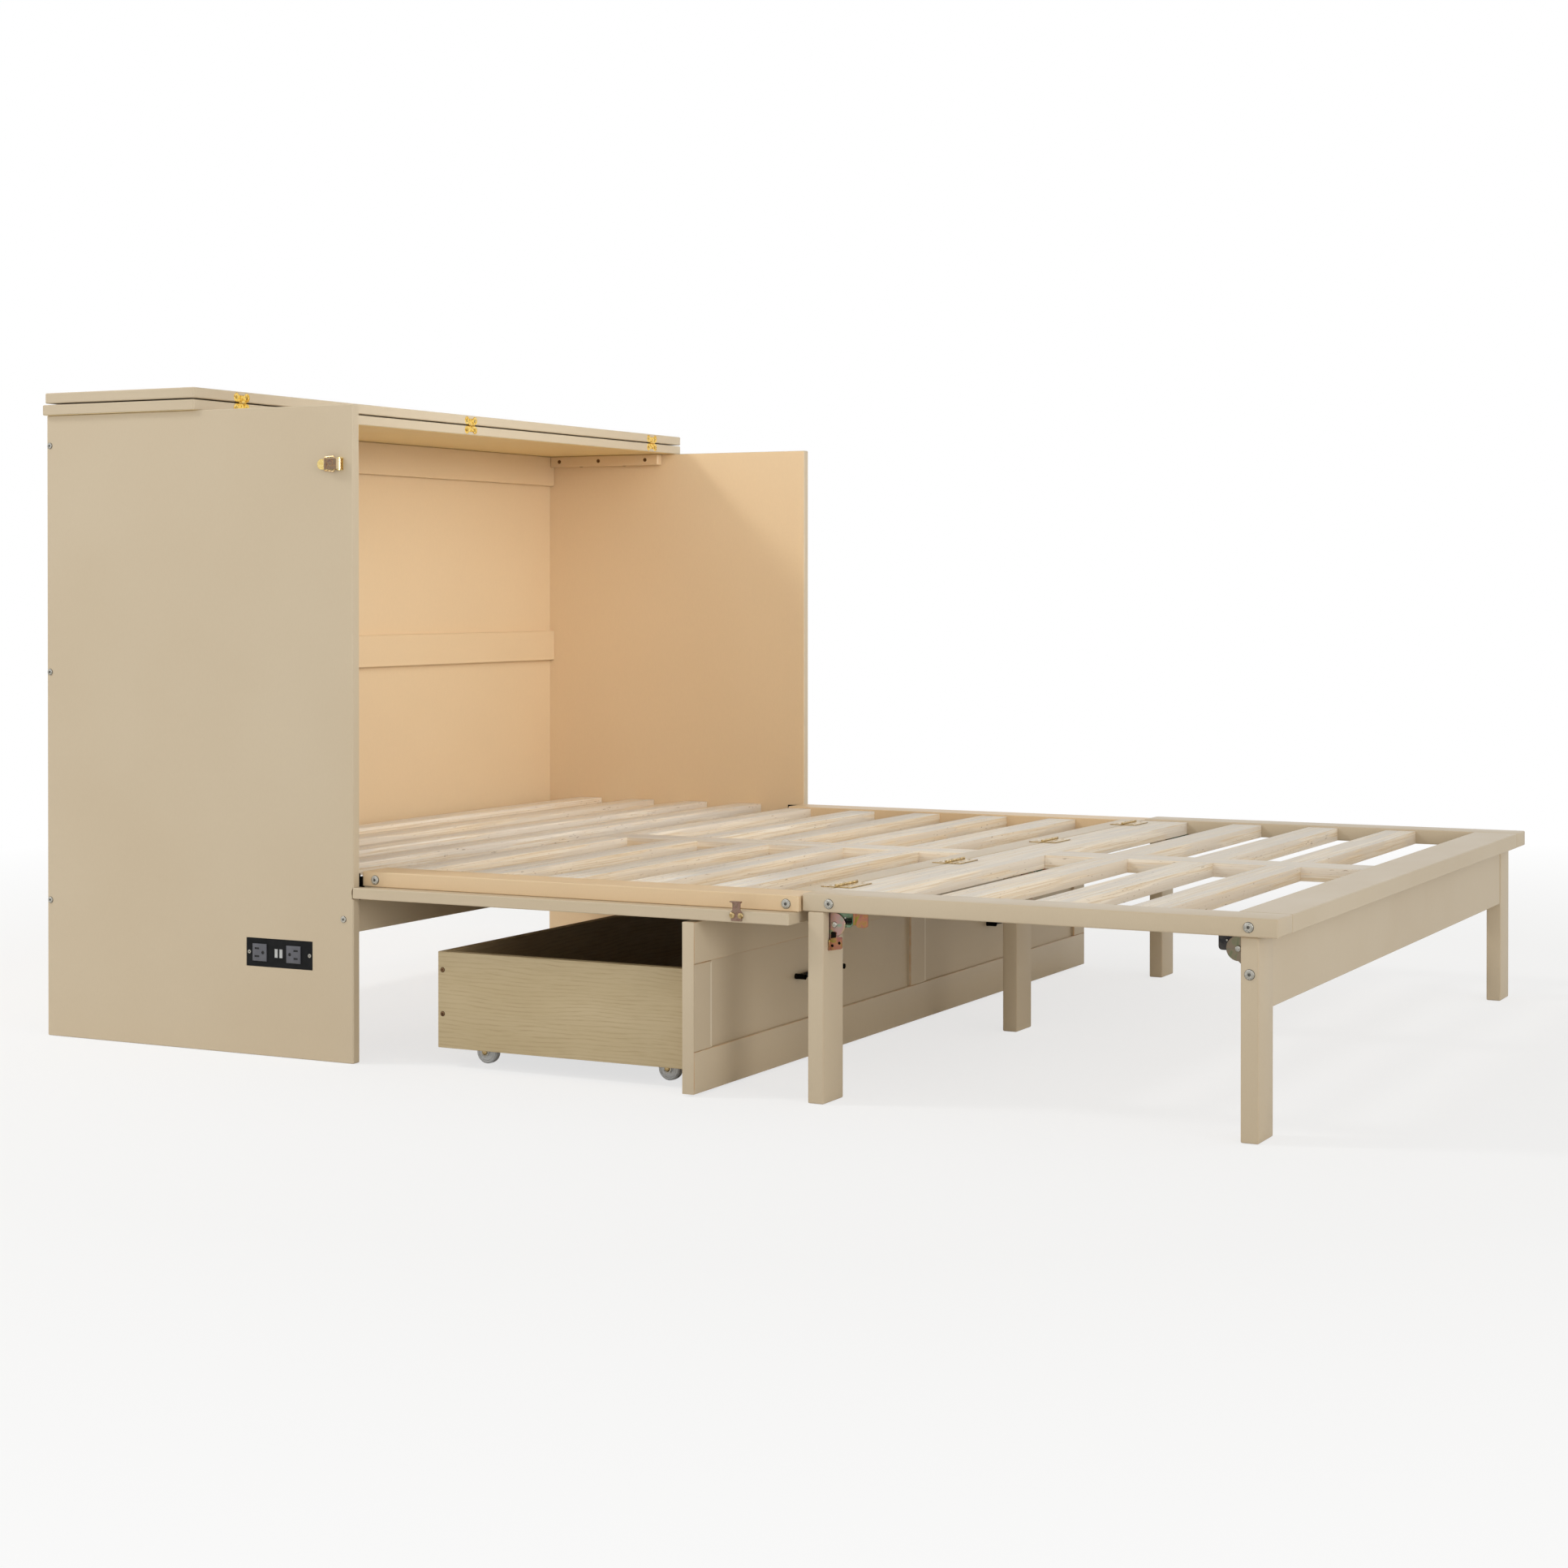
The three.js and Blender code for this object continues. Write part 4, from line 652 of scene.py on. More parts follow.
# foot section: three rows, a head board, a spine and two painted rails
FOOT_START, FOOT_PITCH, FOOT_ROWS = 237.5 * MM, 149 * MM, 3
HEAD_BOARD, RAIL_WIDE, HINGE_SINK = mm(88, 70, 3)
low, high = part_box("foot_board")
FOOT_END, FOOT_FLOOR, FOOT_TOP = low.y, low.z, high.z
FOOT_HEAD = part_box("foot_rail_left")[1].y
HINGE_TOP = FOOT_TOP - HINGE_SINK
rail_outer = -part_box("foot_rail_left")[0].x
lath_outer = rail_outer - RAIL_WIDE - SEAT
foot_edges = [FOOT_HEAD - FOOT_START - i * FOOT_PITCH for i in range(FOOT_ROWS)]
make_lath_rows("foot", "foot_section", foot_edges, lath_outer, FOOT_FLOOR, HINGE_TOP, FOOT_HEAD)
sawn_board("foot_head_board", (-lath_outer, FOOT_HEAD - HEAD_BOARD, FOOT_FLOOR),
           (lath_outer, FOOT_HEAD, HINGE_TOP), "foot_section", X, "foot_laths")
sawn_board("foot_spine", (-SPINE_HALF, high.y + SEAT, FOOT_FLOOR),
           (SPINE_HALF, FOOT_HEAD - HEAD_BOARD - SEAT, HINGE_TOP), "foot_section", Y, "foot_laths")
for side, sign in SIDES:
    painted_board("foot_side_rail_" + side, (sign * rail_outer, FOOT_END, FOOT_FLOOR),
                  (sign * (rail_outer - RAIL_WIDE), FOOT_HEAD, FOOT_TOP), "foot_section", "foot_rail_" + side)

# the painted board at the middle section's end, beside the fold
FOLD_GAP = 3 * MM
MIDDLE_FOOT = FOOT_HEAD + FOLD_GAP
low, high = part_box("middle_end_board")
painted_board("fold_end_board", (low.x, MIDDLE_FOOT, low.z),
              (high.x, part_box("middle_laths")[0].y - SEAT, HINGE_TOP),
              "door_section", "middle_end_board", "inner_board")

# ---------- leg brackets ----------
# Sizes here are in mm. A bracket is drawn on the leg's face at y=0, under the frame at z=0,
# with its plates upright along Y and their outer faces towards -X.
PIVOT_OUT, PIVOT_DROP = 9, 19.5
PLATE, LEG_WEB, RAIL_WEB, RAIL_REACH, FLUSH = 2, 15, 12.7, 38, 0.05


def place_bracket(part, x, face, way):
    """Puts a bracket part on the bed, turned over where it faces the other way or stands on the right."""
    for turned_over, axis in ((way < 0, (0, 1, 0)), (x > 0, (1, 0, 0))):
        if turned_over:
            part.data.transform(Matrix.Scale(-1, 4, axis))
            part.data.flip_normals()
    part.data.transform(Matrix.Translation((x, face, FOOT_FLOOR)))
    return part


def leg_plate(name):
    """The plate on the leg: a round web about the pivot, drawn out to a flange and a pointed tail."""
    web = blank_rod(name, 17.5 * MM, PLATE * MM, mm(PLATE / 2 - LEG_WEB, PIVOT_OUT, -PIVOT_DROP), 48)
    open_faces(web, lambda centre, normal: True)
    bpy.ops.mesh.bisect(plane_co=mm(0, PIVOT_OUT, 0), plane_no=(0, 1, 0), use_fill=True, clear_inner=True)
    close(web)
    # the cut face is drawn back to the post, then its lower part down to the tail's point
    open_faces(web, lambda centre, normal: normal.y < -0.9)
    extrude(*mm(0, 0.1 - PIVOT_OUT, 0))
    close(web)
    open_faces(web, lambda centre, normal: normal.z < -0.9 and centre.y < PIVOT_OUT * MM)
    extrude(*mm(0, 0, -6.3))
    bpy.ops.transform.resize(value=(1, 0.22, 1), center_override=mm(0, 0.1, 0))
    close(web)
    web = ease_edges(web, 0.4 * MM, 1, rings(X, lambda corner: corner.x < -14 * MM))
    flange = blank_block("flange", mm(-LEG_WEB, FLUSH, -PIVOT_DROP - 24), mm(LEG_WEB, PLATE, -1))
    return gather(name, web, ease_edges(flange, 1.5 * MM, 2, runs(Y)))


def rail_plate(name, slotted):
    """The plate under the frame: a flange and a web with cut lower corners and, if wanted, a slot."""
    web = blank_block(name, mm(-RAIL_WEB, PIVOT_OUT - 6.4, -23), mm(PLATE - RAIL_WEB, RAIL_REACH, -FLUSH))
    web = ease_edges(web, 5 * MM, 1 if slotted else 3, runs(X, lambda corner: corner.z < -20 * MM))
    if slotted:
        slot = blank_block("slot", mm(-14, 23, -17), mm(-11.2, 36, -12))
        web = cut_out(web, ease_edges(slot, 2 * MM, 3, runs(X)))
    flange = blank_block("flange", mm(-RAIL_WEB, 2.6, -PLATE), mm(LEG_WEB, RAIL_REACH, -FLUSH))
    return gather(name, web, ease_edges(flange, 3 * MM, 3, runs(Z, lambda corner: corner.x > 0)))


def slot_bar(name):
    """The black bar that lies in the rail plate's slot."""
    return ease_edges(blank_block(name, mm(-13.6, 24, -16.4), mm(-11.3, 35, -12.6)), 1.6 * MM, 3, runs(X))


def catch_tab(name):
    """The tab bent out of the rail plate's end, with two rounded lower corners."""
    tab = blank_block(name, mm(-11.7, 43, -22.5), mm(-10, 60, -FLUSH))
    tab = ease_edges(tab, 4 * MM, 4, runs(X, lambda corner: corner.z < -20 * MM))
    # the free end is bent inwards by 4 mm
    open_faces(tab, lambda centre, normal: normal.y > 0.5)
    bpy.ops.transform.translate(value=mm(4, 0, 0))
    close(tab)
    fold = blank_block("fold", mm(-RAIL_WEB, RAIL_REACH + 0.1, -19), mm(PLATE - RAIL_WEB, 43.1, -FLUSH))
    return gather(name, tab, ease_edges(fold, 0.6 * MM, 2, runs(Z)))


def mark_painted_shade(piece, depth, wanted):
    """Marks the corners that pass a test of place for painted shade, darkened by an amount."""
    return mark(piece, "painted_shade", "POINT", [
        depth if wanted(corner.co) else 0.0 for corner in piece.data.vertices])


def lock_plate(name):
    """The leg's lock: a leaning plate with two holes, a roll at the post, and an arm and a back behind."""
    middle = -17.6
    plate = blank_block(name, mm(middle - 0.8, 3, -58), mm(middle + 0.8, 23, -40))
    open_faces(plate, lambda centre, normal: normal.y > 0.9)
    bpy.ops.transform.translate(value=mm(0, 0, 3.5))
    close(plate)
    plate = ease_edges(plate, 2.4 * MM, 3, runs(X))
    for y, z in ((18.5, -46), (7, -50.5)):
        plate = cut_out(plate, blank_rod("hole", 2.3 * MM, 4 * MM, mm(middle, y, z)))
    roll = blank_rod("roll", 1.4 * MM, 16 * MM, mm(middle, 1.6, -50), upright=True)
    roll = ease_edges(roll, 0.4 * MM, 2, rings(Z))
    arm = ease_edges(blank_block("arm", mm(-16.7, 4, -47), mm(-15.1, 12, -30)), 1.5 * MM, 2, runs(X))
    back = blank_block("back", mm(-16.7, 4, -53), mm(-16.2, 21, -43.5))
    # painted shade: the back is darkened, so that the holes show dark
    return mark_painted_shade(gather(name, plate, roll, arm, back), 1.0,
                       lambda at: -16.71 * MM < at.x < -16.1 * MM)


# ---------- bolts, screws and rivets, made facing +Z ----------
# how far the thin dark disc under a head, painted shadow, reaches past the head
SHADOW_DISC_RIM = 0.6 * MM


def dome(name, radius, high):
    """A rivet's domed head."""
    return ease_edges(blank_disc(name, radius, 0, high), min(high, radius) * 0.75, 4, above(high * 0.9))


def bolt_head(name, radius, high, key):
    """A round flat bolt head with a hexagon socket, on a thin dark disc that is painted shadow round the
    head; the socket's floor is darkened as painted shade.
    """
    head = ease_edges(blank_disc(name, radius, 0, high, 28), high * 0.4, 3, above(high * 0.9))
    head = cut_out(head, blank_rod("key", key, high * 1.6, (0, 0, high), 6, upright=True))
    # a thin dark disc under the head: painted shadow round it
    shadow_disc = blank_disc("shadow_disc", radius + SHADOW_DISC_RIM, 0, 0.25 * MM, 28)
    shadow_disc = ease_edges(shadow_disc, 0.1 * MM, 1, above(0.2 * MM))
    return mark_painted_shade(gather(name, head, shadow_disc), 0.75, lambda at: (
        at.xy.length > radius + SHADOW_DISC_RIM / 2 or (at.xy.length < key * 1.03 and at.z < high * 0.8)))


def cross_screw(name, radius, high):
    """A countersunk screw head with a cross-shaped socket, on a thin dark disc that is painted shadow in the
    rim of its hole; the socket's floor is darkened as painted shade.
    """
    head = ease_edges(blank_disc(name, radius, 0, high, 20), high * 0.5, 2, above(high * 0.9))
    arm, wide = radius * 0.55, radius * 0.14
    for x, y in ((arm, wide), (wide, arm)):
        head = cut_out(head, blank_block("slot", (-x, -y, high * 0.3), (x, y, high * 2)))
    # a thin dark disc under the head: painted shadow in the rim of its hole
    rim = blank_disc("rim", radius + SHADOW_DISC_RIM, 0, 0.12 * MM, 20)
    return mark_painted_shade(gather(name, head, rim), 0.85, lambda at: (
        at.xy.length > radius + SHADOW_DISC_RIM / 2 or (at.xy.length < arm * 1.1 and at.z < high * 0.6)))


big_bolt = bolt_head("bolt_large", *mm(7, 1.6, 2.5))
small_bolt = bolt_head("bolt_small", *mm(4.9, 1.4, 1.9))
wood_screw = cross_screw("screw_large", *mm(3.6, 0.7))
small_screw = cross_screw("screw_outlet", *mm(3, 0.7))
hinge_screw = cross_screw("screw_small", *mm(2.2, 0.45))
rivet = dome("rivet_large", *mm(4.6, 2.2))
small_rivet = dome("rivet_small", *mm(1.6, 1.1))
MASTERS = [big_bolt, small_bolt, wood_screw, small_screw, hinge_screw, rivet, small_rivet]


def drive(master, name, at, direction, body, material, slot="steel"):
    """Puts a copy of a bolt, screw or rivet on a face that looks in a direction."""
    fit(copied(master, name, facing(direction, Vector(at))), body, material, slot)


# ---------- legs, with their brackets ----------
LEG_WIDE, LEG_DEEP = mm(67, 26)
MIDDLE_LEG_X, MIDDLE_LEG_HEAD = 749 * MM, FOOT_HEAD - 9.5 * MM
FOOT_LEG_X, FOOT_LEG_HEAD = 741 * MM, FOOT_END + 54.5 * MM
# frame, place, the middle's X, the head side's Y, the way that the bracket faces, and the body
LEGS = (
    ("middle", "left", -MIDDLE_LEG_X, MIDDLE_LEG_HEAD, -1, "middle_leg_left"),
    ("middle", "right", MIDDLE_LEG_X, MIDDLE_LEG_HEAD, -1, "middle_leg_right"),
    ("middle", "centre", 0, MIDDLE_LEG_HEAD, -1, "middle_leg_centre"),
    ("foot", "left", -FOOT_LEG_X, FOOT_LEG_HEAD, 1, "foot_leg_frame"),
    ("foot", "right", FOOT_LEG_X, FOOT_LEG_HEAD, 1, "foot_leg_frame"),
)
for frame_name, side, x, head, way, body in LEGS:
    painted_board(f"{frame_name}_post_{side}", (x - LEG_WIDE / 2, head - LEG_DEEP, 0),
                  (x + LEG_WIDE / 2, head, FOOT_FLOOR - SEAT), body, f"{frame_name}_leg_{side}")
    name = f"{frame_name}_{side}"
    middle = frame_name == "middle"
    place = (x, head if way > 0 else head - LEG_DEEP, way)
    fit(place_bracket(leg_plate("leg_plate_" + name), *place), body, zinc if middle else olive_zinc, "steel")
    fit(place_bracket(rail_plate("rail_plate_" + name, middle), *place), "foot_section",
        green_zinc if middle else dark_steel, "steel" if middle else "dark_steel")
    if middle:
        fit(place_bracket(slot_bar("slot_bar_" + name), *place), "foot_section", black_iron, "dark_steel")
        fit(place_bracket(catch_tab("catch_tab_" + name), *place), "foot_section", orange_zinc, "steel")
        fit(place_bracket(lock_plate("lock_plate_" + name), *place), body, orange_zinc, "steel")
    outward = 1 if x > 0 else -1
    for master, part, out, along, drop, rides_on in (
            (rivet, "pivot_rivet_", LEG_WEB, PIVOT_OUT, PIVOT_DROP, body),
            (small_rivet, "slot_pin_", RAIL_WEB, 25.8, 9, "foot_section")):
        at = (x + outward * out * MM, place[1] + way * along * MM, FOOT_FLOOR - drop * MM)
        drive(master, part + name, at, (outward, 0, 0), rides_on, nickel)

# ---------- hinges across the fold ----------
HINGE_HALF, HINGE_REACH, LEAF_TOP = mm(38, 26, -1.4)
HINGE_SPOTS = mm(-628, -213, 213, 628)
SCREW_APART = 25 * MM


def fold_leaf(name, knuckles):
    """A butt hinge's leaf drawn towards +Y, with some of its five knuckles on the pin at the origin."""
    leaf = blank_block(name, (-HINGE_HALF, 0, -HINGE_SINK), (HINGE_HALF, HINGE_REACH, LEAF_TOP))
    parts = [ease_edges(leaf, 3 * MM, 3, runs(Z, lambda corner: corner.y > HINGE_REACH / 2))]
    pitch = 2 * HINGE_HALF / 5
    for i in knuckles:
        middle = -HINGE_HALF + (i + 0.5) * pitch
        knuckle = blank_rod("knuckle", 2.3 * MM, pitch - 0.5 * MM, (middle, 0, 0), 20)
        parts.append(ease_edges(knuckle, 0.4 * MM, 1, rings(X)))
    return gather(name, *parts)


fixed_leaf = fold_leaf("fold_leaf_fixed", (0, 2, 4))
moving_leaf = fold_leaf("fold_leaf_moving", (1, 3))
MASTERS += [fixed_leaf, moving_leaf]
for i, x in enumerate(HINGE_SPOTS):
    pin = Vector((x, (FOOT_HEAD + MIDDLE_FOOT) / 2, HINGE_TOP + HINGE_SINK))
    for leaf, kind, way, body in (
            (fixed_leaf, "fixed", 1, "door_section"), (moving_leaf, "moving", -1, "foot_section")):
        turned = Matrix.Translation(pin) @ Matrix.Rotation(0 if way > 0 else math.pi, 4, "Z")
        fit(copied(leaf, f"fold_hinge_{kind}_{i + 1}", turned), body, brass, "brass")
        for j in range(3):
            # the middle screw of each three stands 3 mm nearer to the pin
            reach = 15 - 3 * (j % 2)
            spot = pin + Vector(((j - 1) * SCREW_APART, way * reach * MM, LEAF_TOP))
            screw = copied(hinge_screw, f"fold_screw_{i + 1}_{j + 1}_{kind}", Matrix.Translation(spot))
            fit(screw, body, brass, "brass")


# ---------- drawer ----------
FACE_RAIL, FACE_STILE, FACE_CENTRE, PANEL_RECESS = mm(63, 58, 33, 6)
# the hairline between the face's boards, and the thin strip that covers their end grain
FACE_JOINT, FACE_STRIP = mm(0.35, 1.2)
PULL_RADIUS, PULL_HALF, PULL_TURN = mm(4.5, 76, 11)
BOTTOM_THICK, BOTTOM_LIFT = mm(8, 12)


def mark_painted_highlight(board, beyond):
    """Marks a narrow strip of a stile's front beside its inner edge, to be painted pale as a highlight."""
    open_faces(board, lambda centre, normal: normal.y < -0.99)
    bpy.ops.mesh.inset(thickness=3.5 * MM)
    close(board)
    mark(board, "painted_edge_highlight", "FACE", [
        0.8 if face.normal.y < -0.9 and face.center.x > beyond else 0.0 for face in board.data.polygons])


def drawer_face():
    """The drawer's face: two full rails, three stiles between them and two panels set back."""
    low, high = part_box("drawer_front")
    left_end, right_end = low.x + FACE_STRIP, high.x - FACE_STRIP
    left_stile, right_stile = low.x + FACE_STILE, high.x - FACE_STILE
    rail_top, rail_foot = low.z + FACE_RAIL, high.z - FACE_RAIL
    places = [(left_end, low.z, right_end, rail_top), (left_end, rail_foot, right_end, high.z)]
    for left, right in ((left_end, left_stile), (-FACE_CENTRE, FACE_CENTRE), (right_stile, right_end)):
        places.append((left, rail_top + FACE_JOINT, right, rail_foot - FACE_JOINT))
    boards = []
    for left, bottom, right, top in places:
        board = blank_block("face_board", (left, low.y, bottom), (right, high.y, top))
        if top - bottom > FACE_RAIL:
            # the stiles' upright front edges are rounder than the rest
            board = ease_edges(board, 2.6 * MM, 4, lambda a, b: (
                abs(a.z - b.z) > FACE_RAIL and a.y < low.y + 1 * MM
                and low.x + 5 * MM < a.x < high.x - 5 * MM))
            board = ease_edges(board, 0.8 * MM, 2, lambda a, b: abs(a.z - b.z) < 0.01 * MM)
            # the left and middle stiles get a painted highlight beside their inner edge
            if right < right_stile:
                mark_painted_highlight(board, right - 5 * MM)
        else:
            board = ease_edges(board, 1.1 * MM, 3)
        boards.append(mark_edges(board, 1.0))
    for left, right in ((low.x, left_end), (right_end, high.x)):
        strip = blank_block("face_end", (left, low.y + 0.2 * MM, low.z), (right, high.y, high.z))
        boards.append(mark_edges(ease_edges(strip, 0.4 * MM, 2), 0.3))
    for left, right in ((left_stile, -FACE_CENTRE), (FACE_CENTRE, right_stile)):
        sunk = blank_block("face_panel", (left - 1 * MM, low.y + PANEL_RECESS, rail_top - 1 * MM),
                           (right + 1 * MM, high.y - 1 * MM, rail_foot + 1 * MM))
        # a slight hollow keeps the thin panel from looking machined flat
        open_faces(sunk, lambda centre, normal: normal.y < -0.9)
        bpy.ops.mesh.inset(thickness=12 * MM)
        bpy.ops.transform.translate(value=(0, 0.15 * MM, 0))
        boards.append(close(sunk))
    fit(gather("drawer_face", *boards), "drawer", beige, "painted_board", "drawer_front")


def bow_handle(name, side):
    """A bow handle: a round bar on two feet, drawn from one foot round two bends to the other."""
    low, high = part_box("drawer_handle_" + side)
    across, height = (low.x + high.x) / 2, (low.z + high.z) / 2
    start = across - PULL_HALF + PULL_RADIUS
    span = 2 * (PULL_HALF - PULL_RADIUS)
    reach = high.y - low.y - PULL_RADIUS - PULL_TURN
    clear_bench()
    bpy.ops.mesh.primitive_circle_add(vertices=20, radius=PULL_RADIUS, fill_type="NGON",
                                      location=(start, high.y, height), rotation=(math.pi / 2, 0, 0))
    bar = settle(name)
    open_faces(bar, lambda centre, normal: True)
    for bend, step in ((PULL_TURN, (0, -reach, 0)), (span - PULL_TURN, (span - 2 * PULL_TURN, 0, 0))):
        extrude(*step)
        bpy.ops.mesh.spin(steps=8, angle=math.pi / 2, center=(start + bend, high.y - reach, height),
                          axis=(0, 0, 1))
    extrude(0, reach, 0)
    bpy.ops.mesh.select_all(action="SELECT")
    bpy.ops.mesh.remove_doubles(threshold=0.01 * MM)
    bpy.ops.mesh.normals_make_consistent(inside=False)
    close(bar)
    bpy.ops.object.shade_smooth_by_angle(angle=math.radians(40))
    return bar


drawer_face()
for side, _ in SIDES:
    fit(bow_handle("drawer_pull_" + side, side), "drawer", black_iron, "dark_steel", "drawer_handle_" + side)
low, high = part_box("drawer_bottom")
side_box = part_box("drawer_side_left")
bottom_floor = side_box[0].z + BOTTOM_LIFT
panel = blank_block("drawer_floor", (low.x, low.y, bottom_floor),
                    (high.x, high.y, bottom_floor + BOTTOM_THICK))
fit(ease_edges(panel, 0.5 * MM, 1), "drawer", foil_floor, "drawer_board", "drawer_bottom")

# castors
PLATE_HALF_X, PLATE_HALF_Y, PLATE_THICK = mm(14, 16, 2.5)
CHEEK_RADIUS, CHEEK_THICK, CHEEK_OUT = mm(7, 1.5, 10.75)
AXLE_RADIUS, AXLE_LONG, HUB_OUT = mm(2.6, 24.6, 11.4)


def castor_fork(name, at, top):
    """A castor's housing: a plate under the drawer, two cheeks beside the wheel and an axle."""
    plate = blank_block(name, (at.x - PLATE_HALF_X, at.y - PLATE_HALF_Y, top - PLATE_THICK),
                        (at.x + PLATE_HALF_X, at.y + PLATE_HALF_Y, top))
    parts = [ease_edges(plate, 4 * MM, 3, runs(Z))]
    for way in (-1, 1):
        cheek = blank_rod("cheek", CHEEK_RADIUS, CHEEK_THICK, (at.x + way * CHEEK_OUT, at.y, at.z), 24)
        # its upper side is drawn up into the plate and a little wider there
        open_faces(cheek, lambda centre, normal: normal.z > 0.6)
        extrude(0, 0, top - at.z - CHEEK_RADIUS)
        bpy.ops.transform.resize(value=(1, 1.3, 0), center_override=(at.x, at.y, top - 1 * MM))
        parts.append(close(cheek))
    axle = blank_rod("axle", AXLE_RADIUS, AXLE_LONG, at)
    return gather(name, *parts, ease_edges(axle, 0.5 * MM, 1, rings(X)))


for side, sign in SIDES:
    for end in ("back", "front"):
        low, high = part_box(f"castor_wheel_{end}_{side}")
        at = (low + high) / 2
        fit(castor_fork(f"castor_fork_{end}_{side}", at, bottom_floor - 0.1 * MM), "drawer", nickel, "steel")
        for face, way in (("outer", sign), ("inner", -sign)):
            drive(rivet, f"castor_hub_{face}_{end}_{side}", at + Vector((way * HUB_OUT, 0, 0)),
                  (way, 0, 0), "drawer", brass)


# ---------- bolts and screws ----------
def along_bed(bed):
    """A place along the bed given from the cabinet's back, in mm, as the frame's Y."""
    return cabinet_back + bed * MM


# bolts through the sides: name, kind, how far out, body, and places in mm, along the bed and up
SIDE_BOLTS = (
    ("side_bolt", small_bolt, -side_low.x, "cabinet",
     ((-7, 1003.7), (-7, 619), (-7, 231), (-617.6, 230.4))),
    ("middle_rail_bolt", big_bolt, -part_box("middle_rail_left")[0].x, "door_section",
     ((-662, 293.5), (-1401, 293.5))),
    ("foot_rail_bolt", big_bolt, rail_outer, "foot_section", ((-1468, 296), (-2106, 297))),
)
FOOT_LEG_BOLT = (-2105.5, 231.5)
# heights of the drawer's screws, and places along the bed of those through and up into the cleats
DRAWER_SCREWS, CLEAT_SCREWS, CLEAT_UNDER_SCREWS = (154, 84), (-39, -139, -257), (-90, -200)
for side, sign in SIDES:
    out = (sign, 0, 0)
    for name, master, reach, body, places in SIDE_BOLTS:
        for i, (y, z) in enumerate(places):
            drive(master, f"{name}_{side}_{i + 1}", (sign * reach, along_bed(y), z * MM), out, body, nickel)
    y, z = FOOT_LEG_BOLT
    drive(big_bolt, "foot_leg_bolt_" + side, (sign * (FOOT_LEG_X + LEG_WIDE / 2), along_bed(y), z * MM),
          out, "foot_leg_frame", nickel)
    for i, z in enumerate(DRAWER_SCREWS):
        drive(wood_screw, f"drawer_screw_{side}_{i + 1}",
              (sign * -side_box[0].x, side_box[1].y - 9 * MM, z * MM), out,
              "drawer", brown_steel, "drawer_board")
    low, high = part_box("top_cleat_" + side)
    inner_face = high.x if sign < 0 else low.x
    for i, y in enumerate(CLEAT_SCREWS):
        drive(wood_screw, f"cleat_screw_{side}_{i + 1}", (inner_face, along_bed(y), (low.z + high.z) / 2),
              (-sign, 0, 0), "cabinet", brown_steel)
    for i, y in enumerate(CLEAT_UNDER_SCREWS):
        drive(wood_screw, f"cleat_under_screw_{side}_{i + 1}", ((low.x + high.x) / 2, along_bed(y), low.z),
              (0, 0, -1), "cabinet", brown_steel)

# a screw in each of the top hinges' round lobes
LOBE_IN, LOBE_APART, LOBE_FACE = mm(7.6, 13.5, 1.2)
for i in (1, 2, 3):
    for leaf, body in (("rear", "cabinet"), ("front", "top_leaf")):
        low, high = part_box(f"top_hinge_{leaf}_leaf_{i}")
        height = high.z - LOBE_IN if leaf == "front" else low.z + LOBE_IN
        for side, sign in SIDES:
            drive(hinge_screw, f"top_hinge_screw_{leaf}_{i}_{side}",
                  ((low.x + high.x) / 2 + sign * LOBE_APART, high.y - LOBE_FACE, height),
                  (0, -1, 0), body, gold, "brass")

# two domed rivets in each strike
STRIKE_FACE, STRIKE_HEIGHT, STRIKE_APART = mm(814, 275, 7)
for side, sign in SIDES:
    low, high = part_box("strike_" + side)
    for i, way in enumerate((-1, 1)):
        drive(rivet, f"strike_rivet_{side}_{i + 1}",
              (sign * STRIKE_FACE, (low.y + high.y) / 2 + way * STRIKE_APART, STRIKE_HEIGHT),
              (sign, 0, 0), "door_section", brass, "brass")


# ---------- outlet ----------
def outlet_socket(name, y, z, face, side):
    """A square socket block with two blade slots and an earth hole; side is towards the plate's end."""
    half, proud = mm(14.25, 2)
    block = blank_block(name, (face - proud, y - half, z - half), (face - 0.05 * MM, y + half, z + half))
    block = ease_edges(block, 0.8 * MM, 2, lambda a, b: max(a.x, b.x) < face - 1 * MM)
    blade_y = y + 5 * side * MM
    for drop, wide in (mm(6.4, 8.6), mm(-6.4, 9.4 if side > 0 else 8)):
        mouth = blank_block("blade", (face - 3 * MM, blade_y - wide / 2, z + drop - 1.5 * MM),
                            (face - 1.2 * MM, blade_y + wide / 2, z + drop + 1.5 * MM))
        block = cut_out(block, mouth)
    earth = blank_rod("earth", 2.9 * MM, 2 * MM, (face - 2.2 * MM, y - 7 * side * MM, z), 20)
    block = cut_out(block, earth)
    # painted shade: the floors of the blade slots and the earth hole are darkened
    return mark_painted_shade(block, 1.0, lambda at: face - 1.3 * MM < at.x < face - 1.1 * MM)


def outlet_port(name, y, z, face):
    """A charging port: a thin pale rim round a sunk mouth, with a tongue in it."""
    port = blank_block(name, (face - 0.5 * MM, y - 2.9 * MM, z - 7 * MM),
                       (face - 0.05 * MM, y + 2.9 * MM, z + 7 * MM))
    open_faces(port, lambda centre, normal: normal.x < -0.9)
    bpy.ops.mesh.inset(thickness=0.8 * MM)
    bpy.ops.transform.translate(value=(0.35 * MM, 0, 0))
    bpy.ops.mesh.inset(thickness=0.7 * MM)
    extrude(-0.25 * MM, 0, 0)
    return close(port)


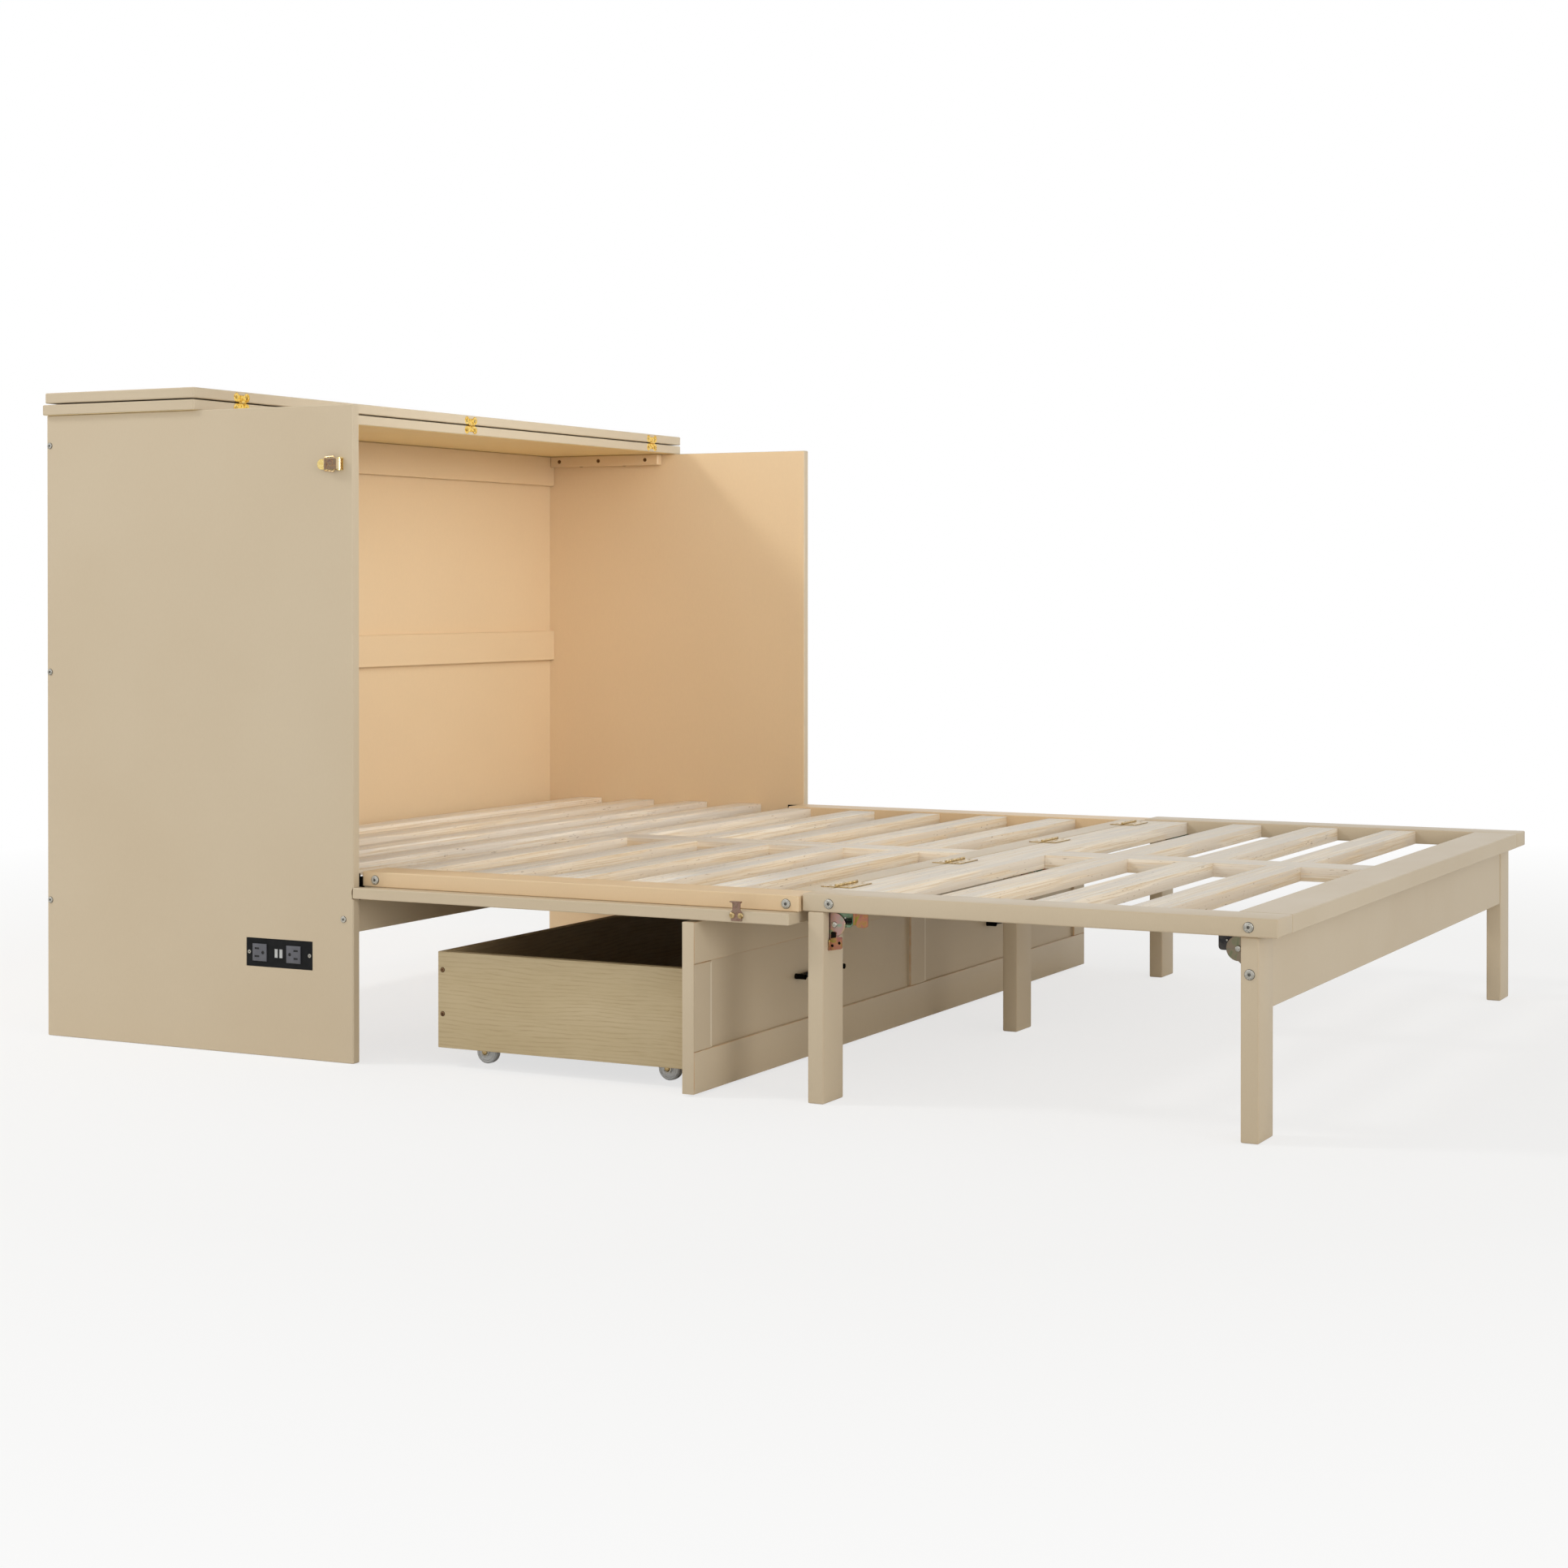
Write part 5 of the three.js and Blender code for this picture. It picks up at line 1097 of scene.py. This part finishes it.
def make_outlet():
    """The outlet: a black plate with a body behind it, two socket blocks, two ports and two screws."""
    low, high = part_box("outlet_panel")
    face, thick = low.x + 2 * MM, 2.5 * MM
    y, z = (low.y + high.y) / 2, (low.z + high.z) / 2
    plate = blank_block("outlet_plate", (face, low.y, low.z), (face + thick, high.y, high.z))
    plate = ease_edges(plate, 1.2 * MM, 2, runs(X))
    # the body behind is shorter than the plate, 110 mm to its 124.5
    open_faces(plate, lambda centre, normal: normal.x > 0.9)
    bpy.ops.mesh.inset(thickness=4 * MM)
    bpy.ops.transform.resize(value=(1, 110 / 124.5, 1), center_override=(face, y, z))
    extrude(high.x - face - thick, 0, 0)
    fit(close(plate), "cabinet", black_plastic, "outlet_plastic", "outlet_panel")
    for end, side in (("foot", -1), ("wall", 1)):
        block = outlet_socket("outlet_socket_" + end, y + (5 + side * 34) * MM, z, face, side)
        fit(block, "cabinet", socket_plastic, "outlet_plastic")
        port = outlet_port("outlet_port_" + end, y + (1.5 + side * 4.75) * MM, z, face)
        fit(port, "cabinet", port_plastic, "outlet_plastic")
        drive(small_screw, "outlet_screw_" + end, (face - 0.02 * MM, y + side * 60.5 * MM, z),
              (-1, 0, 0), "cabinet", nickel)


make_outlet()
for master in MASTERS:
    bpy.data.objects.remove(master)

# ---------- studio ----------
# the surround is brightest at the horizon, like tall soft boxes round the bed
HORIZON_LIGHT, ZENITH_LIGHT = 1.25, 0.4
# a small lamp behind, left and above; two shaded ones that shine into the cabinet; a broad one at the foot
# name, place, what it points at, size in metres, power in watts, and spread in degrees
LAMPS = (
    ("lamp_back", (-2.4, 3.6, 3.9), (0, 0.4, 0.5), 0.9, 78, 180),
    ("lamp_cabinet", (-0.5, -0.4, 1.7), (0.45, 0.9, 0.75), 1.0, 1.15, 80),
    ("lamp_front", (-1.6, -2.4, 1.5), (0.35, 1.0, 0.95), 1.2, 2.1, 38),
    ("lamp_foot", (-3.6, -8.4, 1.7), (0, 0.2, 0.4), 3.0, 100, 180),
)


def set_floor():
    """A plain pale floor that fades to the white surround."""
    material, add = blank("studio_floor")
    # the fade runs between 1.8 and 4 m from the bed's middle
    away = add("VectorMath", [add("TexCoord").outputs["Object"]], operation="LENGTH")
    fade = add("MapRange", [away, 1.8, 4.0, 0.7, 1.0])
    seen = add("LightPath").outputs["Is Camera Ray"]
    veil = add("Math", [seen, fade], operation="MULTIPLY")
    paper = add("Emission", {"Color": "FFFFFF", "Strength": 1.0})
    mix = add("MixShader", [veil, add("BsdfDiffuse", {"Color": "EFEEEC"}), paper])
    add("OutputMaterial", [mix])
    clear_bench()
    bpy.ops.mesh.primitive_plane_add(size=60, location=(0, 0, -0.6 * MM))
    floor = settle("floor")
    floor.data.materials.append(material)
    floor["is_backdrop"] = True


def set_world():
    """A surround that looks plain white, and lights the bed from low down."""
    world = bpy.data.worlds.new("studio")
    bpy.context.scene.world = world
    world.use_nodes = True
    world.node_tree.nodes.clear()
    add = partial(add_node, world.node_tree)
    path = add("LightPath").outputs
    plain = add("Math", [path["Is Camera Ray"], path["Is Glossy Ray"]], operation="ADD")
    plain = add("Math", [plain, path["Is Transmission Ray"]], operation="ADD", use_clamp=True)
    up = add("SeparateXYZ", [add("TexCoord").outputs["Generated"]]).outputs["Z"]
    level = add("MapRange", [up, 0.0, 1.0, HORIZON_LIGHT, ZENITH_LIGHT])
    dim = add("Background", {"Color": "F7F6F3", "Strength": level})
    white = add("Background", {"Color": "FFFFFF", "Strength": 1.0})
    add("OutputWorld", [add("MixShader", [plain, dim, white])])


def set_lamp(name, place, target, size, power, spread):
    """A round soft lamp pointed at a target."""
    light = bpy.data.lights.new(name, "AREA")
    light.spread = math.radians(spread)
    light.shape = "DISK"
    light.size = size
    light.energy = power
    held = bpy.data.objects.new(name, light)
    bpy.context.collection.objects.link(held)
    held.location = place
    aim = Vector(target) - Vector(place)
    held.rotation_euler = aim.to_track_quat("-Z", "Y").to_euler()


set_camera()
set_floor()
set_world()
for lamp in LAMPS:
    set_lamp(*lamp)
bpy.context.scene.view_settings.view_transform = "Standard"

low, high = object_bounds()
